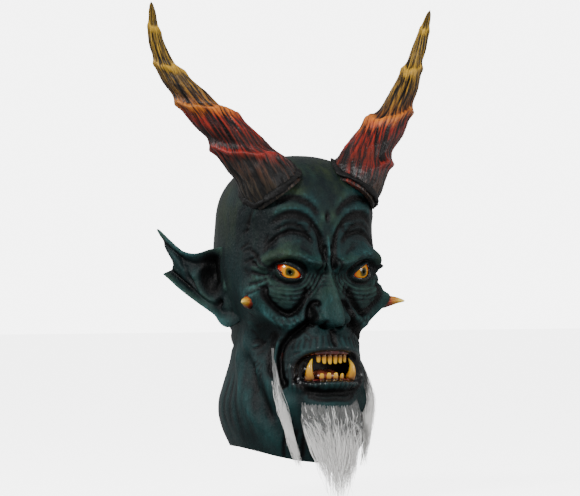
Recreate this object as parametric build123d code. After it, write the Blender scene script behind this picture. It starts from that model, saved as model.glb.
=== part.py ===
from build123d import *

import math
import os

# Over-the-head horned devil mask: a hollow rubber head casting with horns, ears, cheek spikes, teeth, eyes and
# hair glued on. Millimetres; +Z is up, the face looks along -Y, the wearer's left is +X.
# The origin is the middle of the flat underside of the crown pad, where the top of the wearer's head bears.
# Each node is one physical piece, written to parts/NODE.step.

# ---------------------------------------------------------------- walls and clearances
SKIN_WALL = 3.0  # rubber of the head casting
HORN_WALL = 2.5  # rubber of a horn casting
GLUE_GAP = 0.15  # film of glue between pieces that are glued face to face
SKIN_GLUE_GAP = 0.6  # thicker bed of liquid rubber where a piece is glued to the head's uneven skin

# ---------------------------------------------------------------- head and neck
HEAD_WIDTH = 188.0  # across the temples
CROWN_HEIGHT = 23.0  # top of the head above the underside of the pad
# Sections of the head: height, half width as a share of half the head's width, depth in front of the axis, depth
# behind it, and how square the front is (a superellipse exponent: 2 is an ellipse, less is pointed).
HEAD_STATIONS = [
    (CROWN_HEIGHT, 0.13, 6.0, 22.0, 2.4),
    (21.0, 0.30, 22.0, 42.0, 2.4),
    (14.0, 0.52, 39.0, 61.0, 2.4),
    (-2.0, 0.76, 56.0, 82.0, 2.5),
    (-26.0, 0.91, 69.0, 99.0, 2.6),
    (-56.0, 0.98, 76.0, 109.0, 2.6),
    (-88.0, 1.00, 82.0, 110.0, 2.7),
    (-112.0, 1.00, 77.0, 107.0, 3.0),
    (-136.0, 0.97, 79.0, 103.0, 2.7),
    (-162.0, 0.90, 84.0, 98.0, 2.4),
    (-184.0, 0.81, 91.0, 95.0, 2.2),
    (-204.0, 0.76, 98.0, 95.0, 2.0),
    (-224.0, 0.76, 101.0, 101.0, 2.0),
    (-248.0, 0.83, 102.0, 109.0, 1.75),
    (-270.0, 0.93, 101.0, 111.0, 1.6),
    (-288.0, 0.94, 97.0, 107.0, 1.6),
    (-306.0, 0.90, 82.0, 99.0, 1.8),
    (-330.0, 0.78, 72.0, 86.0, 2.0),
    (-356.0, 0.68, 66.0, 80.0, 2.0),
]
BACK_SQUARENESS = 2.2
HALF_POINTS = 12  # spans of the curve down each side of a section
FRONT_CROWDING = 0.13  # how much closer together those spans are at the nose

NOSE_REACH = 26.0  # how far the tip stands out of the section
NOSE_TIP_Z = -162.0
NOSE_SPREADS = (34.0, 16.0, 15.0)  # upwards, downwards and sideways
EYE_BULGE = (7.0, 24.0, 20.0)  # reach, sideways spread and spread in height of the swelling round an eye
CHEEK_BULGE = (12.0, 17.0, 19.0)  # reach, spread in degrees round the head and spread in height

HEM_FRONT_Z = -342.0  # lowest point of the cut edge
HEM_FRONT_Y = -70.0
HEM_ARCH_RADIUS = 230.0  # the edge rises over the shoulders on this radius
HEM_TILT = 4.0  # and towards the back, in degrees

# ---------------------------------------------------------------- crown pad
PAD_RADIUS = 49.0

# ---------------------------------------------------------------- eyes
EYE_X = 50.0
EYE_Z = -116.0
EYE_FRONT_Y = -75.8  # front of the dome
EYE_RADIUS = 21.0
EYE_WALL = 2.5
EYE_CAP_DEPTH = 13.0
EYE_TURN = 20.0  # outward turn of an eye
EYE_OPENING = (37.0, 17.0)  # width and height of the gap between the lids
PUPIL_RADIUS = 3.0  # the wearer looks out through it

# ---------------------------------------------------------------- mouth
MOUTH_Z = -228.0
MOUTH_HALF_WIDTH = 42.0
MOUTH_HALF_HEIGHT = 16.5
POCKET_WALL = 2.0
POCKET_HALF = (49.0, 24.0)  # half width and half height of the pocket behind the mouth
POCKET_CORNER = 12.0
POCKET_BACK_Y = -48.0
GUM_RADIUS = 52.0  # arc of the tooth line in plan
GUM_FRONT_Y = -89.0  # the tooth line at its foremost point
GUM_THICK = 6.0
GUM_HEIGHT = 7.5
GUM_HALF_WIDTH = 34.0
UPPER_TOOTH = (5.6, 11.5, 4.0)  # width, length and thickness
UPPER_TEETH_X = [-17.5, -10.5, -3.5, 3.5, 10.5, 17.5]
LOWER_TOOTH = (6.0, 7.0, 4.0)
LOWER_TEETH_X = [-13.5, -4.5, 4.5, 13.5]
TUSK_X = 26.5
TUSK_LENGTH = 21.0
TUSK_RADIUS = 4.8
TONGUE_HALF = (20.0, 17.0, 11.0)

# ---------------------------------------------------------------- horns
# Middle line of the wearer's left horn, from inside the head to the tip.
HORN_LINE = [(46.0, -40.0, -26.0), (66.0, -33.0, 2.0), (98.0, -20.0, 41.0), (125.0, -9.0, 70.0),
             (151.0, 6.0, 101.0), (169.0, 17.0, 131.0), (181.0, 18.0, 162.0), (190.0, 10.0, 204.0)]
# Radii at even steps along it: every swelling is one turn of the ridge.
HORN_RADII = [34.0, 37.0, 36.0, 29.5, 26.0, 28.5, 23.5, 20.0, 22.0, 17.5, 13.0, 14.5, 11.0, 8.0, 8.6, 6.2, 3.4]
HORN_HOLLOW = 13  # how many of those radii the foam core and the hollow round it reach
SEAM_WIDTH = 5.0  # the bead of rubber round a horn's foot
SEAM_HEIGHT = 4.0

# ---------------------------------------------------------------- cheek spikes
SPIKE_BASE = (90.0, -50.0, -151.0)
SPIKE_TURN = 48.0  # outwards from straight ahead
SPIKE_LENGTH = 27.0
SPIKE_RADIUS = 8.5
SPIKE_TIP_RADIUS = 0.9
SPIKE_PLUG = (4.5, 14.0)  # radius and length of the plug that goes through the skin

# ---------------------------------------------------------------- ears
EAR_ROOT = (82.0, 6.0, -120.0)
EAR_SWEEP = 62.0  # how far the ear is swept back from straight out sideways
EAR_OUTLINE = [(2.0, 36.0), (26.0, 38.0), (58.0, 42.0), (98.0, 56.0), (88.0, 18.0), (94.0, 1.0), (60.0, -22.0),
               (34.0, -44.0), (12.0, -62.0), (-2.0, -52.0)]
EAR_THICK = 15.0
EAR_BOWL = (38.0, 2.0, 30.0, 22.0, 11.0)  # centre across and up, half width, half height and depth
EAR_EDGE_TAPER = 6.0  # degrees between the ear's back and its front

# ---------------------------------------------------------------- hair
# Locks: centre, half width and half thickness of each section from the root down.
CHIN_LOCK = [((0.0, -105.5, -281.0), 36.0, 4.0), ((0.0, -108.0, -300.0), 34.0, 7.5),
             ((0.0, -108.0, -326.0), 26.0, 9.0), ((0.0, -106.0, -350.0), 15.0, 7.0), ((0.0, -105.0, -372.0), 4.0, 2.5)]
JAW_LOCK = [((66.0, -58.0, -222.0), 8.0, 3.2), ((64.5, -69.0, -250.0), 10.0, 5.0), ((60.5, -75.0, -276.0), 11.0, 5.0),
            ((52.0, -79.0, -306.0), 9.0, 4.5), ((45.0, -82.0, -336.0), 4.0, 2.2)]
JAW_LOCK_TURN = 47.0  # which way a jaw lock's flat side faces, outwards from straight ahead


# ---------------------------------------------------------------- helpers
def mirrored(shape):
    """The same piece on the wearer's right."""
    return mirror(shape, about=Plane.YZ)


def bell(distance, spread):
    return math.exp(-(distance / spread) ** 2)


def head_section(z, share, front, back, squareness, inset, overlap):
    """The wearer's left half of one level section of the head, drawn in by inset. Negative inset makes it larger.

    The crown comes down by the inset, and so does the open end below the hem, so that no two forms end level.
    The flat side of the half is overlap past the middle plane.
    """
    half = HEAD_WIDTH / 2 * share
    spike_angle = math.degrees(math.atan2(SPIKE_BASE[0], -SPIKE_BASE[1]))
    level = z - (inset if z > -10 or z < HEM_FRONT_Z else 0)
    points = []
    for k in range(HALF_POINTS + 1):
        u = k / HALF_POINTS
        turn = math.pi * (u - FRONT_CROWDING * math.sin(math.pi * u))
        s, c = math.sin(turn), math.cos(turn)
        depth, power = (front, squareness) if c > 0 else (back, BACK_SQUARENESS)
        x = 0.0 if k in (0, HALF_POINTS) else half * s ** (2 / power)
        y = -depth * math.copysign(abs(c) ** (2 / power), c)
        if c > 0:
            up, down, sideways = NOSE_SPREADS
            y -= NOSE_REACH * bell(z - NOSE_TIP_Z, up if z > NOSE_TIP_Z else down) * bell(x, sideways)
            y -= EYE_BULGE[0] * bell(x - EYE_X, EYE_BULGE[1]) * bell(z - EYE_Z, EYE_BULGE[2])
        distance = math.hypot(x, y)
        angle = math.degrees(math.atan2(x, -y))
        swelling = CHEEK_BULGE[0] * bell(angle - spike_angle, CHEEK_BULGE[1]) * bell(z - SPIKE_BASE[2], CHEEK_BULGE[2])
        grow = (distance + swelling - inset) / distance
        points.append((x * grow, y * grow, level))
    knots = [k / HALF_POINTS for k in range(HALF_POINTS + 1)]
    side = Edge.make_spline(points, tangents=[Vector(1, 0, 0), Vector(-1, 0, 0)], parameters=knots)
    if overlap == 0:
        return Face(Wire([side, Edge.make_line(points[-1], points[0])]))
    front_corner, back_corner = ((-overlap, y, level) for _, y, _ in (points[0], points[-1]))
    closing = [Edge.make_line(points[-1], back_corner), Edge.make_line(back_corner, front_corner),
               Edge.make_line(front_corner, points[0])]
    return Face(Wire([side, *closing]))


def half_head(inset, overlap=0.0):
    """The wearer's left half of the solid form of the head and neck, drawn in by inset all round."""
    return loft([head_section(*station, inset, overlap) for station in HEAD_STATIONS])


def whole(half):
    """A piece that crosses the middle plane, from its left half."""
    return half + mirrored(half)


def turned(origin, degrees):
    """A plane that looks outwards by degrees from straight ahead, with its own +Y up."""
    turn = math.radians(degrees)
    return Plane(origin=origin, x_dir=(math.cos(turn), math.sin(turn), 0), z_dir=(math.sin(turn), -math.cos(turn), 0))


def largest(shape):
    return sorted(shape.solids(), key=lambda solid: solid.volume)[-1]


# ---------------------------------------------------------------- head
def hem_waste():
    """What the hem's cut takes off the neck."""
    centre_z = HEM_FRONT_Z + HEM_ARCH_RADIUS
    bottom = HEAD_STATIONS[-1][0] - 10
    block = Pos(0, 0, (centre_z + bottom) / 2) * Box(400, 400, centre_z - bottom)
    arch = Pos(0, 0, HEM_ARCH_RADIUS) * Rot(90, 0, 0) * Cylinder(HEM_ARCH_RADIUS, 600)
    return block - Pos(0, HEM_FRONT_Y, HEM_FRONT_Z) * Rot(HEM_TILT, 0, 0) * arch


def eye_frame():
    """The middle of the eye's ball, looking out along the eye."""
    return turned((EYE_X, EYE_FRONT_Y, EYE_Z), EYE_TURN) * Pos(0, 0, -EYE_RADIUS)


def eye_gap():
    """The lens between the lids, as a cutter."""
    width, height = EYE_OPENING
    return eye_frame() * Pos(0, 0, EYE_RADIUS - 14) * extrude(Ellipse(width / 2, height / 2), 60)


def mouth_gap():
    return Pos(0, -60, MOUTH_Z) * Rot(90, 0, 0) * extrude(Ellipse(MOUTH_HALF_WIDTH, MOUTH_HALF_HEIGHT), 90)


def spike_hole():
    radius, length = SPIKE_PLUG
    bore = Pos(0, 0, -length) * Cylinder(radius + GLUE_GAP, 2 * length)
    seat = Pos(0, 0, 15) * Cylinder(SPIKE_RADIUS + 1.0, 30)
    return turned(SPIKE_BASE, SPIKE_TURN) * (bore + seat)


def head_skin():
    half = half_head(0.0) - hem_waste() - half_head(SKIN_WALL, 1.0)
    return largest(whole(half - eye_gap() - spike_hole() - mouth_gap()))


def crown_pad(inside):
    """A round pad with a flat underside at z = 0, shaped to the inside of the crown above."""
    height = CROWN_HEIGHT + 5
    half = Pos(0, 0, height / 2) * Rot(0, 0, 30) * Cylinder(PAD_RADIUS, height) & inside
    return largest(whole(half))


# ---------------------------------------------------------------- horns
def horn_form(inset, count=None):
    """A horn drawn in by inset, as far as the given number of its radii."""
    line = Spline(*[Vector(*p) for p in HORN_LINE])
    last = len(HORN_RADII) - 1
    rings = []
    for i, radius in enumerate(HORN_RADII[:count]):
        place = Plane(origin=line @ (i / last), x_dir=(0, 1, 0), z_dir=line % (i / last))
        rings.append((place * Circle(radius - inset)).face())
    return loft(rings)


def horn_shell(clear_of_head):
    return largest(horn_form(0) - horn_form(HORN_WALL, HORN_HOLLOW) - clear_of_head)


def horn_core(clear_of_head):
    return largest(horn_form(HORN_WALL + GLUE_GAP, HORN_HOLLOW) - clear_of_head)


def horn_seam(clear_of_head, beyond_head):
    bead = horn_form(-GLUE_GAP - SEAM_WIDTH) & beyond_head
    return largest(bead - horn_form(-GLUE_GAP) - clear_of_head)


# ---------------------------------------------------------------- ears, eyes and spikes
def ear(clear_of_head):
    """A pointed leaf, hollowed on the side that faces forward."""
    leaf = extrude(make_face(Polyline(*EAR_OUTLINE, close=True)), EAR_THICK / 2, both=True)
    across, up, half_width, half_height, depth = EAR_BOWL
    bowl = Pos(across, up, EAR_THICK / 2) * scale(Sphere(1.0), by=(half_width, half_height, depth))
    length = max(p[0] for p in EAR_OUTLINE)
    behind = Pos(length / 2, 0, -EAR_THICK) * Rot(0, -EAR_EDGE_TAPER, 0) * Box(2 * length, 200, EAR_THICK)
    return largest(turned(EAR_ROOT, EAR_SWEEP) * (leaf - bowl - behind) - clear_of_head)


def eye():
    """A cap of a hollow ball with a hole for the pupil."""
    ball = Sphere(EYE_RADIUS) - Sphere(EYE_RADIUS - EYE_WALL)
    cap = ball & Pos(0, 0, EYE_RADIUS) * Box(60, 60, 2 * EYE_CAP_DEPTH)
    return eye_frame() * (cap - Pos(0, 0, EYE_RADIUS) * Cylinder(PUPIL_RADIUS, EYE_RADIUS))


def cheek_spike():
    radius, length = SPIKE_PLUG
    cone = Pos(0, 0, GLUE_GAP + SPIKE_LENGTH / 2) * Cone(SPIKE_RADIUS, SPIKE_TIP_RADIUS, SPIKE_LENGTH)
    plug = Pos(0, 0, GLUE_GAP - length / 2) * Cylinder(radius, length)
    return turned(SPIKE_BASE, SPIKE_TURN) * (cone + plug)


# ---------------------------------------------------------------- mouth
def on_tooth_line(x, z):
    """The place on the tooth line that is x off the middle, turned to face out of the mouth."""
    turn = math.asin(x / GUM_RADIUS)
    return Location((x, GUM_FRONT_Y + GUM_RADIUS * (1 - math.cos(turn)), z), (0, 0, math.degrees(turn)))


def gum(z_low):
    """An arched bar that holds one row of teeth."""
    arc = Cylinder(GUM_RADIUS + GUM_THICK / 2, GUM_HEIGHT) - Cylinder(GUM_RADIUS - GUM_THICK / 2, GUM_HEIGHT)
    front = Pos(0, -GUM_RADIUS, 0) * Box(2 * GUM_HALF_WIDTH, 2 * GUM_RADIUS, GUM_HEIGHT)
    return Pos(0, GUM_FRONT_Y + GUM_RADIUS, z_low + GUM_HEIGHT / 2) * (arc & front)


def pocket_roof():
    return MOUTH_Z + POCKET_HALF[1] - POCKET_WALL


def pocket_floor():
    return MOUTH_Z - POCKET_HALF[1] + POCKET_WALL


def tooth(size):
    """A blunt tooth that stands up on its own z = 0."""
    width, length, thickness = size
    edge = Pos(0, -thickness * 0.1, length) * Rectangle(width * 0.8, thickness * 0.4)
    return loft([Rectangle(width, thickness).face(), edge.face()])


def upper_teeth():
    foot = pocket_roof() - 2 * GLUE_GAP - GUM_HEIGHT
    return Compound(children=[on_tooth_line(x, foot) * Rot(0, 180, 0) * tooth(UPPER_TOOTH) for x in UPPER_TEETH_X])


def lower_teeth():
    foot = pocket_floor() + 2 * GLUE_GAP + GUM_HEIGHT
    return Compound(children=[on_tooth_line(x, foot) * tooth(LOWER_TOOTH) for x in LOWER_TEETH_X])


def tusk():
    foot = pocket_floor() + 2 * GLUE_GAP + GUM_HEIGHT
    rings = [Circle(TUSK_RADIUS).face(), (Pos(0.5, 0, TUSK_LENGTH * 0.6) * Circle(TUSK_RADIUS * 0.6)).face(),
             (Pos(-0.5, 0, TUSK_LENGTH) * Circle(0.7)).face()]
    return on_tooth_line(TUSK_X, foot) * loft(rings)


def tongue():
    floor = pocket_floor() + GLUE_GAP
    front_y = GUM_FRONT_Y + GUM_THICK / 2 + 2
    lump = Pos(0, front_y + TONGUE_HALF[1], floor) * scale(Sphere(1.0), by=TONGUE_HALF)
    return lump & Pos(0, 0, floor + 50) * Box(400, 400, 100)


def mouth_pocket(inside):
    """A box with a closed back that is glued inside the skin round the mouth."""
    def block(inset, back_y):
        outline = RectangleRounded(2 * (POCKET_HALF[0] - inset), 2 * (POCKET_HALF[1] - inset), POCKET_CORNER - inset)
        return Pos(0, back_y, MOUTH_Z) * Rot(90, 0, 0) * extrude(outline, 90)

    walls = block(0, POCKET_BACK_Y) - block(POCKET_WALL, POCKET_BACK_Y - POCKET_WALL)
    return largest(whole(walls & inside))


# ---------------------------------------------------------------- hair
def lock(stations, facing):
    """A lock of hair as one tapered solid whose flat side faces outwards by facing degrees."""
    rings = []
    for centre, half_width, half_thick in stations:
        turn = math.radians(facing)
        level = Plane(origin=centre, x_dir=(math.cos(turn), math.sin(turn), 0), z_dir=(0, 0, 1))
        rings.append((level * Ellipse(half_width, half_thick)).face())
    return loft(rings)


def make_nodes():
    glued_outside = half_head(-SKIN_GLUE_GAP, 1.0)
    beyond = half_head(-SKIN_GLUE_GAP - SEAM_HEIGHT, 1.0)
    glued_inside = half_head(SKIN_WALL + SKIN_GLUE_GAP)
    nodes = {
        "head_skin": head_skin(),
        "crown_pad": crown_pad(glued_inside),
        "mouth_pocket": mouth_pocket(glued_inside),
        "upper_gum": gum(pocket_roof() - GLUE_GAP - GUM_HEIGHT),
        "lower_gum": gum(pocket_floor() + GLUE_GAP),
        "upper_teeth": upper_teeth(),
        "lower_teeth": lower_teeth(),
        "tongue": tongue(),
        "chin_beard": lock(CHIN_LOCK, 0.0),
    }
    pairs = {
        "horn_shell": horn_shell(glued_outside),
        "horn_core": horn_core(glued_outside),
        "horn_seam": horn_seam(glued_outside, beyond),
        "ear": ear(glued_outside),
        "eye": eye(),
        "cheek_spike": cheek_spike(),
        "tusk": tusk(),
        "jaw_beard": lock(JAW_LOCK, JAW_LOCK_TURN),
    }
    for name, shape in pairs.items():
        nodes["left_" + name] = shape
        nodes["right_" + name] = mirrored(shape)
    return nodes


def main():
    os.makedirs("parts", exist_ok=True)
    for name, shape in make_nodes().items():
        export_step(shape, f"parts/{name}.step")
        print(name, len(shape.solids()), round(shape.volume / 1000, 1), "cm3", "valid" if shape.is_valid else "BROKEN")


main()
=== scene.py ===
# %% [markdown]
# # An over-the-head horned devil mask
# The mask is a hollow rubber head that is pulled over the wearer's own. Horns, ears, cheek spikes, eyes,
# teeth and hair are glued to it. The CAD frame says where every piece is. This script gives each piece its
# modelled surface and its finish. Sculpted forms are worked out in millimetres and stored in metres.

import math

import bmesh
import bpy
import numpy as np
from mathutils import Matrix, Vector


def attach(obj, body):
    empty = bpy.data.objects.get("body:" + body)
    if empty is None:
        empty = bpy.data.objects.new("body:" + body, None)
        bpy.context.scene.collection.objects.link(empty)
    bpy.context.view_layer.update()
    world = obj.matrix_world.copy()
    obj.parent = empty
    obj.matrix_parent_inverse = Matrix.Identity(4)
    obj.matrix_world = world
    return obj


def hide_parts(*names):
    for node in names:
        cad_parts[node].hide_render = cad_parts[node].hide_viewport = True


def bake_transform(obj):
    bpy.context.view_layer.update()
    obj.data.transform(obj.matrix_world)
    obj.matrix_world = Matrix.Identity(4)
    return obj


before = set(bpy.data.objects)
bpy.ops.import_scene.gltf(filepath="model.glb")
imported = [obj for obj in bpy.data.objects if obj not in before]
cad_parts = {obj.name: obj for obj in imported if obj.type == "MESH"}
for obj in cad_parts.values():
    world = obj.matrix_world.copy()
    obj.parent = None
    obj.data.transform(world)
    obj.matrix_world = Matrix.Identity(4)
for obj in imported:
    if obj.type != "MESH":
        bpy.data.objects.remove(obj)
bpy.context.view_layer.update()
MM = 0.001
TAU = 2 * math.pi
SIDES = ((1, "left"), (-1, "right"))

# %% [markdown]
# ## Camera, floor and light
# A long lens from the wearer's right front, level with the mask, as such masks are shown in a catalogue.
# The light is broad and soft, with one large lamp over the near shoulder to catch the wet highlights on
# the rubber.


# %% Camera
def put_in_scene(thing):
    bpy.context.scene.collection.objects.link(thing)
    return thing


CAMERA_AZIMUTH = math.radians(28)
CAMERA_DISTANCE = 5.0
VIEW_WIDTH = 0.696
SENSOR = 36.0
camera_right = Vector((math.cos(CAMERA_AZIMUTH), -math.sin(CAMERA_AZIMUTH), 0))
towards_camera = Vector((-math.sin(CAMERA_AZIMUTH), -math.cos(CAMERA_AZIMUTH), 0))
view_middle = camera_right * -0.0084 + Vector((0, 0, -0.0876))
camera = put_in_scene(bpy.data.objects.new("camera", bpy.data.cameras.new("camera")))
camera.data.sensor_width = SENSOR
camera.data.lens = SENSOR * CAMERA_DISTANCE / VIEW_WIDTH
camera.data.clip_end = 50
camera.location = view_middle + towards_camera * CAMERA_DISTANCE
camera.rotation_euler = (math.radians(90), 0, -CAMERA_AZIMUTH)
bpy.context.scene.camera = camera
print("lens", round(camera.data.lens, 1), "mm")


# %% Floor and lamps
def lamp(name, place, aim, size, watts):
    light = bpy.data.lights.new(name, "AREA")
    light.shape = "DISK"
    light.size = size
    light.energy = watts
    holder = put_in_scene(bpy.data.objects.new(name, light))
    holder.location = place
    holder.rotation_euler = (Vector(aim) - Vector(place)).to_track_quat("-Z", "Y").to_euler()


FLOOR_Z = -0.392
bm = bmesh.new()
bmesh.ops.create_grid(bm, x_segments=1, y_segments=1, size=9)
bmesh.ops.translate(bm, verts=bm.verts, vec=(0, 0, FLOOR_Z))
floor_mesh = bpy.data.meshes.new("floor")
bm.to_mesh(floor_mesh)
bm.free()
floor = put_in_scene(bpy.data.objects.new("floor", floor_mesh))
floor_paint = bpy.data.materials.new("pale_floor")
floor_paint.use_nodes = True
floor_shader = floor_paint.node_tree.nodes["Principled BSDF"]
floor_shader.inputs["Base Color"].default_value = (0.86, 0.86, 0.86, 1)
floor_shader.inputs["Roughness"].default_value = 0.9
floor_shader.inputs["Emission Color"].default_value = (1, 1, 1, 1)
floor_shader.inputs["Emission Strength"].default_value = 4.5
floor.data.materials.append(floor_paint)
floor.visible_diffuse = False
floor.visible_glossy = False

world = bpy.data.worlds.new("studio")
world.use_nodes = True
sky = world.node_tree
background = sky.nodes["Background"]
background.inputs["Color"].default_value = (1, 1, 1, 1)
seen = sky.nodes.new("ShaderNodeLightPath")
bright = sky.nodes.new("ShaderNodeMapRange")
bright.inputs["To Min"].default_value = 0.55  # what lights the mask
bright.inputs["To Max"].default_value = 6.0  # what shows behind it
sky.links.new(seen.outputs["Is Camera Ray"], bright.inputs["Value"])
sky.links.new(bright.outputs[0], background.inputs["Strength"])
bpy.context.scene.world = world
lamp("key", (-1.7, -1.3, 1.5), (0, 0, -0.1), 0.6, 85)
lamp("fill", (1.6, -1.7, 0.5), (0, 0, -0.15), 0.9, 22)
lamp("back", (-1.6, 1.2, 0.9), (0, 0, 0), 0.8, 14)
print("lamps: 3")

# %% [markdown]
# ## Shaping tools
# Every sculpted piece starts as a bmesh grid. Its points are then laid over a form, as a sculptor lays a
# sheet of clay: columns of the grid run round the form and rows run along it. The seam and the poles are
# merged, so the surface is closed or has only the openings that are wanted.


# %% Helpers for grids, curves and soft brushes
MERGE = 2e-5


def smoothstep(low, high, value):
    t = np.clip((value - low) / (high - low), 0, 1)
    return t * t * (3 - 2 * t)


def flowing(points, count):
    """A smooth line through a few points, as count points at even steps."""
    points = np.asarray(points, float)
    padded = np.vstack([2 * points[0] - points[1], points, 2 * points[-1] - points[-2]])
    t = np.linspace(0, len(points) - 1, count)
    i = np.minimum(t.astype(int), len(points) - 2)
    f = (t - i)[:, None]
    p0, p1, p2, p3 = (padded[i + k] for k in range(4))
    square, cube = 2 * p0 - 5 * p1 + 4 * p2 - p3, 3 * p1 - p0 - 3 * p2 + p3
    return 0.5 * (2 * p1 + (p2 - p0) * f + square * f**2 + cube * f**3)


def lump(u, v, u0, v0, wide, tall, height, lean=0.0):
    """A soft rise of clay; a negative height is a thumb print."""
    c, s = math.cos(math.radians(lean)), math.sin(math.radians(lean))
    du, dv = u - u0, v - v0
    return height * np.exp(-((du * c + dv * s) / wide) ** 2 - ((dv * c - du * s) / tall) ** 2)


def stroke(u, v, points, width, height, fade=0.18):
    """The mark of a rounded tool drawn along a line: a ridge where height is positive, else a crease."""
    line = flowing(points, 8 * len(points))
    result = np.zeros_like(u)
    reach = 3 * width
    low, high = line.min(0) - reach, line.max(0) + reach
    near = np.flatnonzero((u > low[0]) & (u < high[0]) & (v > low[1]) & (v < high[1]))
    if len(near) == 0:
        return result
    best = np.full(len(near), 1e9)
    along = np.zeros(len(near))
    for k in range(len(line) - 1):
        d = line[k + 1] - line[k]
        du, dv = u[near] - line[k, 0], v[near] - line[k, 1]
        t = np.clip((du * d[0] + dv * d[1]) / max(d @ d, 1e-9), 0, 1)
        dist = np.hypot(du - t * d[0], dv - t * d[1])
        closer = dist < best
        best[closer] = dist[closer]
        along[closer] = ((k + t) / (len(line) - 1))[closer]
    ends = smoothstep(0, fade, along) * smoothstep(0, fade, 1 - along) if fade else 1.0
    result[near] = height * np.exp(-((best / width) ** 2)) * ends
    return result


def ripple(x, y, z, size, seed):
    """Smooth unevenness between about -1 and 1, the same at every run."""
    waves = np.random.default_rng(seed)
    total = np.zeros_like(x)
    for _ in range(9):
        direction = waves.normal(size=3)
        direction /= np.linalg.norm(direction)
        rate = TAU / (size * waves.uniform(0.7, 1.6))
        along = x * direction[0] + y * direction[1] + z * direction[2]
        total += np.sin(along * rate + waves.uniform(0, 6.3))
    return total / 4.0


def new_grid(columns, rows):
    """A flat bmesh grid; across and along each run from 0 to 1."""
    bm = bmesh.new()
    bmesh.ops.create_grid(bm, x_segments=columns, y_segments=rows, size=0.5)
    bm.verts.ensure_lookup_table()
    flat = np.array([v.co[:] for v in bm.verts])
    return bm, flat[:, 0] + 0.5, flat[:, 1] + 0.5


def lay(bm, points_mm):
    for vert, point in zip(bm.verts, points_mm):
        vert.co = Vector(point) * MM


def keep_values(bm, attributes):
    """Stores one number for each point under each name, for the paint to read."""
    for key, values in attributes.items():
        layer = bm.verts.layers.float.new(key)
        for vert, value in zip(bm.verts, values):
            vert[layer] = float(value)


def finish_piece(bm, name, material, nodes, attributes=None, closed=True):
    """Closes seams, points the faces of a closed piece outwards, and puts the piece on the head."""
    keep_values(bm, attributes or {})
    bmesh.ops.remove_doubles(bm, verts=bm.verts, dist=MERGE)
    bmesh.ops.dissolve_degenerate(bm, dist=1e-6, edges=bm.edges)
    bmesh.ops.recalc_face_normals(bm, faces=bm.faces)
    if closed and bm.calc_volume(signed=True) < 0:
        bmesh.ops.reverse_faces(bm, faces=bm.faces)
    mesh = bpy.data.meshes.new(name)
    bm.to_mesh(mesh)
    bm.free()
    mesh.polygons.foreach_set("use_smooth", [True] * len(mesh.polygons))
    mesh.materials.append(material)
    piece = put_in_scene(bpy.data.objects.new(name, mesh))
    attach(piece, "head")
    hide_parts(*nodes)
    print(name, len(mesh.polygons), "faces")
    return piece


def give_wall(piece, key, thickness):
    """Makes a sheet into a wall behind its modelled side. key picks the face that has to look forwards."""
    bm = bmesh.new()
    bm.from_mesh(piece.data)
    if min(bm.faces, key=key).normal.y > 0:
        bmesh.ops.reverse_faces(bm, faces=bm.faces)
    bmesh.ops.delete(bm, geom=[v for v in bm.verts if not v.link_faces], context="VERTS")
    bm.to_mesh(piece.data)
    bm.free()
    wall = piece.modifiers.new("wall", "SOLIDIFY")
    wall.thickness = thickness * MM
    wall.offset = -1
    return wall


def frontness(face):
    return face.calc_center_median().y


def paint_frame_piece(node, paint):
    """Leaves a piece of the frame as it is and gives it a finish."""
    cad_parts[node].data.materials.clear()
    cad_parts[node].data.materials.append(paint)


# %% [markdown]
# ## Paint
# The rubber is cast black and dry-brushed: a nearly dry brush leaves lighter paint on what stands up and
# misses the creases. Each sculpted piece keeps how far its surface stands proud in an attribute called
# relief, and one node group turns that into a mask with brush streaks in it. Low relief also darkens the
# creases as painted shade. A second group adds the fine skin of the rubber.


# %% Node helpers
def new_group(name, inputs, outputs):
    group = bpy.data.node_groups.new(name, "ShaderNodeTree")
    for socket, kind, value in inputs:
        made = group.interface.new_socket(name=socket, in_out="INPUT", socket_type=kind)
        made.default_value = value
    for socket, kind in outputs:
        group.interface.new_socket(name=socket, in_out="OUTPUT", socket_type=kind)
    return group, group.nodes.new("NodeGroupInput"), group.nodes.new("NodeGroupOutput")


def add(tree, kind, **settings):
    node = tree.nodes.new(kind)
    for key, value in settings.items():
        setattr(node, key, value)
    return node


def math_node(tree, operation, first, second=None, third=None, clamp=False):
    node = add(tree, "ShaderNodeMath", operation=operation, use_clamp=clamp)
    for socket, value in zip(node.inputs, (first, second, third)):
        if value is None:
            continue
        if isinstance(value, (int, float)):
            socket.default_value = value
        else:
            tree.links.new(value, socket)
    return node.outputs[0]


def blend_colour(tree, factor, first, second, mode="MIX"):
    node = add(tree, "ShaderNodeMix", data_type="RGBA", blend_type=mode)
    for place, value in ((0, factor), (6, first), (7, second)):
        socket = node.inputs[place]
        if isinstance(value, (int, float)):
            socket.default_value = value
        elif isinstance(value, tuple):
            socket.default_value = (*value, 1) if len(value) == 3 else value
        else:
            tree.links.new(value, socket)
    return node.outputs[2]


def ramp(tree, factor, stops):
    node = add(tree, "ShaderNodeValToRGB")
    elements = node.color_ramp.elements
    while len(elements) < len(stops):
        elements.new(0.5)
    for element, (place, colour) in zip(elements, stops):
        element.position = place
        element.color = (*colour, 1)
    tree.links.new(factor, node.inputs[0])
    return node.outputs[0]


def shaken(tree, value, pattern, amount):
    """A value pushed up and down by a noise pattern."""
    push = math_node(tree, "MULTIPLY", math_node(tree, "SUBTRACT", pattern, 0.5), amount)
    return math_node(tree, "ADD", value, push)


def noise(tree, where, **settings):
    """A noise pattern over the piece; settings are named by the texture's own sockets."""
    node = add(tree, "ShaderNodeTexNoise")
    for key, value in settings.items():
        node.inputs[key].default_value = value
    tree.links.new(where, node.inputs["Vector"])
    return node.outputs["Fac"]


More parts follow.
